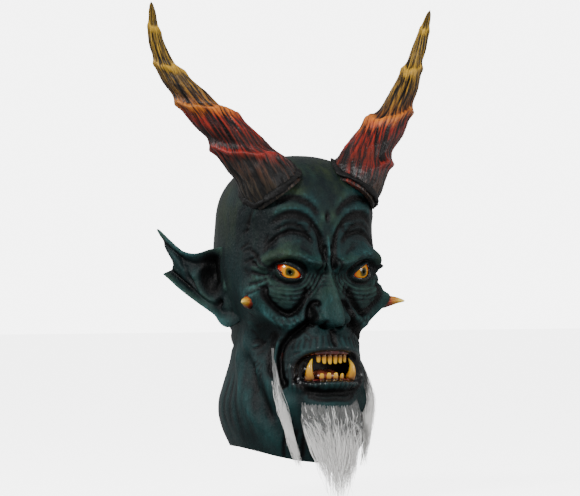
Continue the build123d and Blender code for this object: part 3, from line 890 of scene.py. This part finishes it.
def horn_material():
    material, tree, shader, where = new_material("horn_paint")
    relief, rise, ridge = attribute(tree, "relief"), attribute(tree, "rise"), attribute(tree, "ridge")
    fibre_place = add(tree, "ShaderNodeCombineXYZ")
    for key, socket in (("fibre_x", "X"), ("fibre_y", "Y"), ("fibre_z", "Z")):
        tree.links.new(attribute(tree, key), fibre_place.inputs[socket])
    fibre = noise(tree, fibre_place.outputs[0], Scale=9.0, Detail=4, Roughness=0.6)
    blotch = noise(tree, where, Scale=30, Detail=5)
    place = shaken(tree, rise, blotch, 0.10)
    low = ramp(tree, place, HORN_GROOVES)
    high = ramp(tree, place, HORN_RAISED)
    standing = math_node(tree, "MULTIPLY", math_node(tree, "SUBTRACT", fibre, 0.43), 4.0)
    raised = math_node(tree, "ADD", math_node(tree, "MULTIPLY", ridge, 0.55), standing, clamp=True)
    colour = blend_colour(tree, raised, low, high)
    # Darker where the fibre noise is low, which are also the low parts of its bump, and a little less dark on the
    # ridges.
    low_fibre_darkening = ramp(tree, math_node(tree, "ADD", fibre, math_node(tree, "MULTIPLY", ridge, 0.12)),
                [(0.425, (0.012, 0.010, 0.008)), (0.53, WHITE)])
    colour = blend_colour(tree, 0.9, colour, low_fibre_darkening, "MULTIPLY")
    # Painted shade: where relief is low, in the splits, the colour is darkened.
    shade = ramp(tree, math_node(tree, "ADD", relief, 0.5), [(0.12, (0.02, 0.015, 0.01)), (0.52, WHITE)])
    colour = blend_colour(tree, 1.0, colour, shade, "MULTIPLY")
    tree.links.new(colour, shader.inputs["Base Color"])
    rough = math_node(tree, "SUBTRACT", 0.62, math_node(tree, "MULTIPLY", blotch, 0.4))
    tree.links.new(rough, shader.inputs["Roughness"])
    shader.inputs["Specular IOR Level"].default_value = 0.35
    bump(tree, shader, fibre, 0.9, 0.003)
    return material


horn_paint = horn_material()


# %% Both horns and the bead of rubber round each foot
def horn_foot(points, across, along):
    """The line where the horn comes out of the skull, smoothed."""
    clear = np.hypot(points[:, 0], points[:, 1]) - skin_radius(points)
    columns = np.round(across * HORN_COLUMNS).astype(int)
    foot = []
    for column in range(HORN_COLUMNS):
        mine = np.flatnonzero(columns == column)
        mine = mine[np.argsort(along[mine])]
        outside = np.flatnonzero(clear[mine] > 0.5)
        first = outside[np.argmax(along[mine][outside] > 0.03)] if len(outside) else 0
        foot.append(points[mine[first]])
    foot = np.array(foot)
    for _ in range(4):
        foot = (np.roll(foot, 1, 0) + foot * 2 + np.roll(foot, -1, 0)) / 4
    return foot


def make_horn(side, name):
    """Makes one horn and returns its foot line."""
    bm, across, along = new_grid(HORN_COLUMNS, HORN_ROWS)
    bare = tube_points(HORN_LINE, across, along, np.interp(along, HORN_ALONG, HORN_RADIUS))
    rise = bare[:, 2] - RIDGE_TILT[name] * (bare[:, 0] - RIDGE_MIDDLE_X)
    radius, relief, ridge = horn_surface(across, along, HORN_SEED[name], rise)
    points = tube_points(HORN_LINE, across, along, radius)
    foot = horn_foot(points, across, along)
    points = press_on_skin(points, 1.6)
    points[along < 0.001] = points[along < 0.001].mean(0)
    lay(bm, points * (side, 1, 1))
    twisted = TAU * across + HORN_TWIST * along
    finish_piece(bm, f"{name}_horn", horn_paint, [f"{name}_horn_shell", f"{name}_horn_core"],
                 {"relief": relief, "ridge": ridge, "rise": np.clip(rise / 280 + 0.20, 0, 1),
                  "fibre_x": np.cos(twisted), "fibre_y": np.sin(twisted), "fibre_z": along})
    return foot


SKULL_MIDDLE = (0, 15, -60)


def make_seam(side, name, foot):
    """A ring of rough liquid rubber that fills the corner between horn and skull."""
    bm, across, along = new_grid(264, 14)
    row = across * len(foot)
    low = row.astype(int) % len(foot)
    f = (row - row.astype(int))[:, None]
    middle = foot[low] * (1 - f) + foot[(low + 1) % len(foot)] * f
    ahead = unit(foot[(low + 1) % len(foot)] - foot[low - 1])
    out = unit(middle - SKULL_MIDDLE)
    out = unit(out - ahead * (out * ahead).sum(1)[:, None])
    other = np.cross(ahead, out)
    angle = TAU * along
    rag = ripple(*middle.T, 9, 60) + 0.6 * np.sin(3 * angle + 5 * TAU * across)
    radius = np.maximum(2.9 + 0.8 * rag, 1.2)
    points = middle + (radius * np.cos(angle))[:, None] * out + (1.5 * radius * np.sin(angle))[:, None] * other
    lay(bm, points * (side, 1, 1))
    finish_piece(bm, f"{name}_horn_bead", seam_paint, [f"{name}_horn_seam"])


for side, name in SIDES:
    make_seam(side, name, make_horn(side, name))

# %% [markdown]
# ## Ears
# A pointed ear is a thick leaf: a rim that rolls forward, a deep bowl near the head and a ridge behind the
# bowl. The grid runs from the root to the tip and from the lower edge to the upper edge, and Solidify
# makes it rubber.

# %% Ears
EAR_ROOT = np.array([82.0, 6.0, -120.0])
EAR_SWEEP = math.radians(62)
EAR_ABOVE = [(-8, 33), (12, 34), (32, 30), (48, 26), (62, 26), (76, 31), (90, 42), (104, 55)]
EAR_BELOW = [(-8, -54), (4, -62), (14, -59), (23, -49), (34, -42), (52, -31), (72, -18), (96, 1)]
EAR_END = [(96, 1), (87, 9), (87, 17), (97, 33), (104, 55)]
EAR_WALL = 4.5
EDGE_STEPS = 200


def make_ear(side, name):
    bm, across, along = new_grid(110, 96)  # across: root to tip; along: lower to upper edge
    above, below, end = (flowing(edge, EDGE_STEPS) for edge in (EAR_ABOVE, EAR_BELOW, EAR_END))

    def on(line, t):
        row = t * (EDGE_STEPS - 1)
        return np.stack([np.interp(row, np.arange(EDGE_STEPS), line[:, k]) for k in range(2)], 1)

    flat = on(below, across) * (1 - along)[:, None] + on(above, across) * along[:, None]
    straight = below[-1] * (1 - along)[:, None] + above[-1] * along[:, None]
    flat += (on(end, along) - straight) * (across**3)[:, None]
    a, b = flat[:, 0], flat[:, 1]
    rim = np.exp(-((along / 0.10) ** 2)) + np.exp(-(((1 - along) / 0.10) ** 2))
    rim = rim * smoothstep(0.05, 0.2, across)
    forward = 5.5 * rim - 3.0 * np.exp(-((along - 0.17) / 0.06) ** 2)
    forward -= 2.5 * np.exp(-((along - 0.84) / 0.05) ** 2)
    forward += lump(a, b, 34, 3, 13, 20, -18.0) + stroke(a, b, [(22, -38), (44, -22), (50, 0), (40, 18)], 6, 6.0)
    forward += stroke(a, b, [(50, -6), (72, 8), (92, 34)], 4.5, 2.6)
    forward += stroke(a, b, [(54, -20), (76, -6), (90, 2)], 4, -2.0)
    forward += lump(a, b, 21, -33, 4.0, 4.5, -7.0) + lump(a, b, 12, -50, 9, 10, 3.0)
    forward += stroke(a, b, [(8, 24), (12, 2), (10, -24)], 5, 4.5)
    for k in range(5):
        fold = [(46 + 4 * k, -24 + 3 * k), (58 + 4 * k, -8 + 6 * k), (62 + 5 * k, 8 + 6 * k)]
        forward += stroke(a, b, fold, 1.8, -1.3)
    relief = np.clip(forward / 14.0 - 0.1 + lump(a, b, 34, 3, 12, 17, -0.75), -1, 1)
    forward += 0.0007 * a**2 + 0.5 * ripple(a, b, 0 * a, 24, 9)
    reach = np.array([math.cos(EAR_SWEEP), math.sin(EAR_SWEEP), 0])
    face = np.array([math.sin(EAR_SWEEP), -math.cos(EAR_SWEEP), 0])
    points = EAR_ROOT + a[:, None] * reach + forward[:, None] * face + np.outer(b, [0, 0, 1])
    points = press_on_skin(points, np.interp(a, [-4, 9], [7.0, 0.0]))
    lay(bm, points * (side, 1, 1))
    piece = finish_piece(bm, f"{name}_ear_leaf", skin_paint, [f"{name}_ear"],
                         {"relief": relief, "wet": np.zeros_like(a)}, closed=False)
    middle = Vector((side * 0.11, 0.05, -0.11))
    give_wall(piece, lambda face: (face.calc_center_median() - middle).length, EAR_WALL)


for side, name in SIDES:
    make_ear(side, name)

# %% [markdown]
# ## Eyes
# Each eye is a glossy dome with a hole for the wearer to look out through. The colour runs from bright
# yellow round the pupil to orange and then red under the lids, and the eye has a faint painted glow of the same
# colours.


# %% Eyes
def eye_material():
    material, tree, shader, where = new_material("eye_enamel_with_painted_glow")
    veins = noise(tree, where, Scale=260, Detail=5)
    colour = ramp(tree, shaken(tree, attribute(tree, "out"), veins, 0.09), [
        (0.0, (0.004, 0.003, 0.0)), (0.075, (0.02, 0.02, 0.0)), (0.115, (0.10, 0.06, 0.0)),
        (0.16, (0.50, 0.20, 0.0)), (0.36, (0.50, 0.18, 0.0)), (0.50, (0.50, 0.070, 0.0)),
        (0.62, (0.40, 0.008, 0.0)), (0.9, (0.30, 0.01, 0.005))])
    tree.links.new(colour, shader.inputs["Base Color"])
    # Painted glow: the eye gives off a little light in its own colours, though it is no lamp.
    tree.links.new(colour, shader.inputs["Emission Color"])
    shader.inputs["Emission Strength"].default_value = 0.18
    shader.inputs["Roughness"].default_value = 0.12
    shader.inputs["Specular IOR Level"].default_value = 0.2
    shader.inputs["Coat Weight"].default_value = 0.3
    shader.inputs["Coat Roughness"].default_value = 0.03
    return material


eye_paint = eye_material()
PUPIL_RADIUS = 2.3
DOME_EDGE = math.radians(62)  # from the middle of the pupil to the edge of the dome
EYE_AIM = math.radians(20)  # how far each eye looks outwards
DOME_WALL = 1.8


def make_eye(side, name):
    bm, across, along = new_grid(72, 40)
    polar = np.interp(along, [0, 1], [math.asin(PUPIL_RADIUS / EYE_BALL_RADIUS), DOME_EDGE])
    around = TAU * across
    ahead = np.array([math.sin(EYE_AIM), -math.cos(EYE_AIM), 0])
    sideways = np.array([math.cos(EYE_AIM), math.sin(EYE_AIM), 0])
    direction = (np.cos(polar)[:, None] * ahead + (np.sin(polar) * np.cos(around))[:, None] * sideways
                 + np.outer(np.sin(polar) * np.sin(around), [0, 0, 1]))
    points = EYE_BALL + (EYE_BALL_RADIUS - 0.1) * direction
    across_mm = np.degrees(np.arctan2(points[:, 0], -points[:, 1])) * ARC
    inside = -eye_distance(across_mm, points[:, 2])
    p = np.abs(across_mm - EYE_TURN * ARC + 1.0)
    out = np.clip(polar / math.radians(75), 0, 1) * 0.6 + 0.36 * smoothstep(5, 15, p)
    out += 0.25 * (1 - smoothstep(0, 2.5, inside))
    lay(bm, points * (side, 1, 1))
    piece = finish_piece(bm, f"{name}_eye_dome", eye_paint, [f"{name}_eye"], {"out": out},
                         closed=False)
    give_wall(piece, frontness, DOME_WALL)


for side, name in SIDES:
    make_eye(side, name)

# %% [markdown]
# ## Mouth
# The teeth are stained at the root and stand in glossy red gums inside a dark red pocket. Teeth, tusks and
# gums are tubes along short lines; a tooth is flattened and worn at its edge, and a tusk curves up and
# outwards.


# %% Mouth finishes
def stained(name, colours, rough, scale, by_length=False, coat=0.0, strength=0.4):
    """A finish mottled by noise, or one that changes from root to tip where by_length is set."""
    material, tree, shader, where = new_material(name)
    mottle = noise(tree, where, Scale=scale, Detail=6)
    factor = shaken(tree, attribute(tree, "along"), mottle, 0.5) if by_length else mottle
    tree.links.new(ramp(tree, factor, colours), shader.inputs["Base Color"])
    uneven = math_node(tree, "MULTIPLY", mottle, 0.12)
    tree.links.new(math_node(tree, "ADD", rough, uneven), shader.inputs["Roughness"])
    shader.inputs["Coat Weight"].default_value = coat
    grain = place_group(tree, skin_grain, {"Scale": 420.0, "Wrinkle": 0.8}, Vector=where)
    bump(tree, shader, grain.outputs["Height"], strength, 0.0006)
    return material


tooth_colours = [(0.04, (0.045, 0.014, 0.004)), (0.26, (0.26, 0.10, 0.006)), (0.50, (0.50, 0.24, 0.006)),
                 (1.0, (0.62, 0.37, 0.020))]
gum_colours = [(0.30, (0.035, 0.003, 0.002)), (0.70, (0.15, 0.012, 0.008))]
lining_colours = [(0.30, (0.006, 0.001, 0.001)), (0.75, (0.026, 0.004, 0.002))]
tongue_colours = [(0.30, (0.075, 0.014, 0.007)), (0.70, (0.19, 0.050, 0.025))]
tooth_paint = stained("stained_tooth", tooth_colours, 0.16, 200.0, by_length=True, coat=0.4)
gum_paint = stained("wet_gum", gum_colours, 0.14, 90.0, coat=0.5)
tongue_paint = stained("wet_tongue", tongue_colours, 0.2, 110.0, coat=0.4)
paint_frame_piece("mouth_pocket", stained("mouth_lining", lining_colours, 0.35, 60.0))

# %% Teeth, tusks, gums and tongue
TOOTH_ARC, TOOTH_FRONT = 52.0, -89.0  # radius of the arc that the teeth stand on, and how far forward it comes
TOOTH_THICK = 4.4
# Each tooth: place across the mouth, length and width.
UPPER_TEETH = [(-17.5, 8.5, 5.6), (-10.8, 10.2, 5.8), (-3.7, 10.8, 6.0), (3.7, 10.6, 6.0), (10.8, 10.0, 5.8),
               (17.5, 8.8, 5.4)]
LOWER_TEETH = [(-13.5, 6.2, 6.0), (-4.6, 7.0, 6.6), (4.6, 7.0, 6.4), (13.5, 6.0, 6.0)]
ROOT_DEPTH = 1.5  # how much longer a tooth is than the part that shows


def on_tooth_line(x, z):
    """A place on the arc of the teeth, and which way it faces."""
    turn = math.asin(x / TOOTH_ARC)
    return np.array([x, TOOTH_FRONT + TOOTH_ARC - TOOTH_ARC * math.cos(turn), z]), turn


def tooth_into(row, foot, turn, length, width, bend, lean):
    """Adds one closed tooth to the mesh of its row."""
    bm, across, along = new_grid(20, 16)
    shape = np.interp(along, [0, 0.02, 0.25, 0.6, 0.88, 0.97, 1.0], [0, 0.90, 1.0, 0.92, 0.72, 0.45, 0])
    angle = TAU * across
    x = shape * width / 2 * np.cos(angle) + lean * along**1.5
    y = shape * TOOTH_THICK / 2 * np.sin(angle) * (1 - 0.3 * along) - bend * along**2
    c, s = math.cos(turn), math.sin(turn)
    lay(bm, np.stack([foot[0] + x * c - y * s, foot[1] + x * s + y * c, foot[2] + along * length], 1))
    bmesh.ops.remove_doubles(bm, verts=bm.verts, dist=MERGE)
    part = bpy.data.meshes.new("tooth")
    bm.to_mesh(part)
    bm.free()
    row.from_mesh(part)
    bpy.data.meshes.remove(part)


def make_tooth_row(name, teeth, foot_z, tip_z, bend, lean):
    """A row of teeth that grow from foot_z towards tip_z; lean gives each its own slight slant."""
    row = bmesh.new()
    way = math.copysign(1, tip_z - foot_z)
    for x, length, width in teeth:
        foot, turn = on_tooth_line(x, foot_z)
        tooth_into(row, foot, turn, way * (length + ROOT_DEPTH), width, bend, 0.3 * lean(x))
    up = [min(max((v.co.z / MM - foot_z) / (tip_z - foot_z), 0), 1) for v in row.verts]
    finish_piece(row, f"{name}_tooth_row", tooth_paint, [f"{name}_teeth"], {"along": up})


make_tooth_row("upper", UPPER_TEETH, -213.0, -224.0, 1.0, math.sin)
make_tooth_row("lower", LOWER_TEETH, -243.0, -235.0, 0.8, math.cos)

for side, name in SIDES:
    bm, across, along = new_grid(28, 40)
    foot, turn = on_tooth_line(26.5, -243.5)
    line = [foot, foot + (2.2, -2.8, 8), foot + (1.6, -3.2, 17), foot + (-2.4, -1.4, 25.5)]
    radius = np.interp(along, [0, 0.01, 0.12, 0.35, 0.65, 0.88, 0.97, 1], [0, 4.9, 5.7, 4.5, 2.9, 1.4, 0.7, 0])
    radius = radius * (1 + 0.05 * np.sin(9 * TAU * across) * (1 - along))
    lay(bm, tube_points(line, across, along, radius) * (side, 1, 1))
    finish_piece(bm, f"{name}_tusk_tooth", tooth_paint, [f"{name}_tusk"],
                 {"along": along * 1.1 + 0.05})

GUM_HALF, TOOTH_PITCH = 33, 7.0
for name, z, shift in (("upper", -209.9, math.pi), ("lower", -246.1, 0)):
    bm, across, along = new_grid(20, 120)
    line = [on_tooth_line(x, z)[0] for x in np.linspace(-GUM_HALF, GUM_HALF, 9)]
    ends = np.minimum(smoothstep(0, 0.03, along), smoothstep(0, 0.03, 1 - along))
    swells = np.cos((along - 0.5) * 2 * GUM_HALF / TOOTH_PITCH * TAU + shift)
    lay(bm, tube_points(line, across, along, (4.2 + 0.45 * swells + 0.25 * np.sin(along * 90)) * ends))
    finish_piece(bm, f"{name}_gum_ridge", gum_paint, [f"{name}_gum"])

bm, across, along = new_grid(48, 40)
angle, s = TAU * across, along * 2 - 1
outline = np.sqrt(np.maximum(1 - np.abs(s) ** 2.4, 0))
x = 19.0 * outline * np.cos(angle)
groove = 2.2 * np.exp(-((x / 3.0) ** 2)) * (np.sin(angle) > 0) * outline
z = np.maximum(9.5 * outline * np.sin(angle), -0.5) - groove
y = -67.0 - 16.0 * s
lay(bm, np.stack([x, y, z - 241.5 + 1.5 * np.cos(s)], 1))
finish_piece(bm, "tongue_lump", tongue_paint, ["tongue"])

# %% [markdown]
# ## Cheek spikes
# A short spike stands in a dark socket on each cheekbone, red at its foot and yellow at its point, with
# splits like those of the horns.


# %% Cheek spikes
spike_colours = [(0.0, (0.003, 0.001, 0.001)), (0.16, (0.035, 0.003, 0.001)), (0.36, (0.20, 0.018, 0.003)),
                 (0.55, (0.40, 0.16, 0.010)), (0.78, (0.58, 0.36, 0.04)), (1.0, (0.70, 0.52, 0.12))]
spike_paint = stained("spike_paint", spike_colours, 0.35, 160.0, by_length=True)
SPIKE_FOOT = np.array([90.0, -50.0, -151.0])
SPIKE_TURN = math.radians(48)
for side, name in SIDES:
    bm, across, along = new_grid(48, 60)
    ahead = np.array([math.sin(SPIKE_TURN), -math.cos(SPIKE_TURN), 0])
    line = [SPIKE_FOOT + step * ahead for step in (-5, 6, 17, 27)]
    line[2][2] += 0.6  # a slight upward curve
    radius = np.interp(along, [0, 0.01, 0.2, 0.35, 0.7, 0.93, 0.985, 1], [0, 8.6, 8.8, 7.2, 4.0, 1.7, 0.8, 0])
    radius -= 1.7 * (1 - np.abs(np.sin(7 * math.pi * across + 2 * along)) ** 0.5) * (1 - along) * (along > 0.01)
    lay(bm, tube_points(line, across, along, np.maximum(radius, 0)) * (side, 1, 1))
    finish_piece(bm, f"{name}_spike", spike_paint, [f"{name}_cheek_spike"],
                 {"along": np.clip((along - 0.18) / 0.82, 0, 1)})

# %% [markdown]
# ## Hair
# The hair is made of separate strands: each is a thin tapered curve that leaves the skin, turns down under
# its own weight and gathers towards the tip of its lock. The strands of a lock are one curve object, made
# into one mesh, and it bends from the head to the hanging lock just below the roots.


# %% Hair
def hair_material():
    material, tree, shader, where = new_material("white_hair")
    place = shaken(tree, attribute(tree, "down"), attribute(tree, "shade"), 0.16)
    colour = ramp(tree, place, [
        (0.0, (0.004, 0.008, 0.009)), (0.16, (0.014, 0.020, 0.022)), (0.30, (0.13, 0.14, 0.14)),
        (0.47, (0.80, 0.79, 0.77)), (1.0, (0.95, 0.94, 0.92))])
    mottle = math_node(tree, "MULTIPLY", noise(tree, where, Scale=900), 0.3)
    colour = blend_colour(tree, mottle, colour, (0.55, 0.54, 0.52))
    tree.links.new(colour, shader.inputs["Base Color"])
    shader.inputs["Roughness"].default_value = 0.5
    shader.inputs["Sheen Weight"].default_value = 0.4
    return material


hair_paint = hair_material()
STRAND_POINTS = 12
ROOT_SINK = 0.6
CHIN_HALF_TURN = 25  # degrees of the chin on each side that carry hair
JAW_TOP, JAW_SPAN = -206, 44  # height of the upper root of a jaw lock, and how far down its roots go


def strands(name, paths, thick, node, seed):
    """Makes one lock; paths holds one line of points for each strand, from root to tip."""
    curve = bpy.data.curves.new(name, "CURVE")
    curve.dimensions = "3D"
    curve.bevel_depth = 1.0
    curve.bevel_resolution = 0
    curve.use_fill_caps = True
    deal = np.random.default_rng(seed)
    steps = paths.shape[1]
    t = np.linspace(0, 1, steps)
    for path in paths:
        size = thick * deal.uniform(0.55, 1.25) * MM
        spline = curve.splines.new("POLY")
        spline.points.add(steps - 1)
        radius = size * (1 - 0.82 * t**1.6)
        for point, place, wide in zip(spline.points, path, radius):
            point.co = (*(place * MM), 1)
            point.radius = wide
    holder = put_in_scene(bpy.data.objects.new(name + "_curve", curve))
    bpy.context.view_layer.update()
    mesh = bpy.data.meshes.new_from_object(holder.evaluated_get(bpy.context.evaluated_depsgraph_get()))
    bpy.data.objects.remove(holder)
    mesh.name = name
    mesh.materials.clear()
    mesh.materials.append(hair_paint)
    per = len(mesh.vertices) // len(paths)
    places = np.empty(len(mesh.vertices) * 3)
    mesh.vertices.foreach_get("co", places)
    places = places[:per * len(paths) * 3].reshape(len(paths), per, 1, 3) / MM
    nearest = ((places - paths[:, None]) ** 2).sum(3).argmin(2)
    down = t[nearest].ravel()
    shade = np.repeat(deal.uniform(0, 1, len(paths)), per)
    for key, values in (("down", down), ("shade", shade)):
        layer = mesh.attributes.new(key, "FLOAT", "POINT")
        layer.data.foreach_set("value", np.resize(values, len(mesh.vertices)))
    mesh.polygons.foreach_set("use_smooth", [True] * len(mesh.polygons))
    piece = put_in_scene(bpy.data.objects.new(name, mesh))
    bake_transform(piece)
    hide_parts(node)
    print(name, len(paths), "strands,", len(mesh.polygons), "faces,", per, "points each")


def wavy_paths(roots, middles, tips, loose, seed):
    """Lines from roots past middles to tips. Strands wave together in small bunches, most at the tips."""
    deal = np.random.default_rng(seed)
    t = np.linspace(0, 1, STRAND_POINTS)[None, :, None]
    paths = roots[:, None] * (1 - t) ** 2 + 2 * middles[:, None] * t * (1 - t) + tips[:, None] * t**2
    count = len(roots)
    bunch = np.floor((np.degrees(np.arctan2(roots[:, 0], -roots[:, 1])) + deal.uniform(0, 3, count)) / 2.6)
    phase = (bunch * 2.4)[:, None] + deal.normal(0, 0.35, (count, 1))
    down = t[:, :, 0]
    paths[:, :, 0] += np.sin(down * 9.5 + phase) * loose * down**1.3
    paths[:, :, 1] += 0.6 * np.cos(down * 8 + phase * 1.3) * loose * down**1.3
    paths += deal.normal(0, 0.28, (count, 1, 3)) * t
    return paths


def skin_place(turn, z):
    """Roots just under the skin."""
    return head_surface(turn, z)[0] - ROOT_SINK * outwards(turn)


def make_chin_hair(count):
    deal = np.random.default_rng(21)
    turn = deal.uniform(-CHIN_HALF_TURN, CHIN_HALF_TURN, count)
    share = turn / CHIN_HALF_TURN
    z = deal.uniform(-296, -270, count) - 3 + 7 * share**2
    roots = skin_place(turn, z)
    length = deal.uniform(0.0, 1.0, count) ** 0.75
    tip_z = roots[:, 2] - 14 - (82 * (1 - 0.35 * share**2)) * length
    fall = np.clip((roots[:, 2] - tip_z) / 92, 0, 1)
    tips = np.stack([roots[:, 0] * (1 - 0.62 * fall) + deal.normal(0, 3.2, count),
                     -105.5 + deal.normal(0, 3.0, count) - 2.0 * (1 - fall), tip_z], 1)
    middles = np.stack([roots[:, 0] * 1.06, roots[:, 1] - 12 + deal.normal(0, 2.0, count),
                        roots[:, 2] - 12 - 22 * fall], 1)
    paths = wavy_paths(roots, middles, tips, 2.6, 22)
    strands("chin_beard_hair", paths, 0.50, "chin_beard",
            31)


def make_jaw_hair(side, name, count):
    deal = np.random.default_rng(40 + side)
    z = deal.uniform(JAW_TOP - JAW_SPAN, JAW_TOP, count)
    lower = (JAW_TOP - z) / JAW_SPAN
    turn = 53 - 8 * lower + deal.uniform(-1, 1, count) * (1.2 + 2.6 * lower)
    roots = skin_place(turn, z)
    spread = deal.uniform(0.25, 1.0, count) ** 0.8
    tip_line = ([62, 57, 42], [-74, -79, -86], [-258, -292, -345])
    target = np.stack([np.interp(spread, [0, 0.5, 1], values) for values in tip_line], 1)
    tips = target + deal.normal(0, 2.2, (count, 3))
    bow = np.stack([deal.normal(9, 1.5, count), deal.normal(-10, 1.5, count), 0 * z], 1)
    middles = (roots + tips) / 2 + bow
    paths = wavy_paths(roots, middles, tips, 1.8, 42 + side) * np.array([side, 1, 1])
    strands(f"{name}_jaw_hair_lock", paths, 0.42, f"{name}_jaw_beard",
            50 + side)


make_chin_hair(1300)
for side, name in SIDES:
    make_jaw_hair(side, name, 460)

# %% [markdown]
# ## Crown pad
# The foam pad inside the crown keeps the plain form that the frame gives it, and only takes its colour
# here.

# %% Foam pad
foam_colours = [(0.3, (0.30, 0.28, 0.23)), (0.7, (0.46, 0.43, 0.36))]
paint_frame_piece("crown_pad", stained("foam", foam_colours, 0.8, 400.0, strength=1.0))
print("crown pad painted")
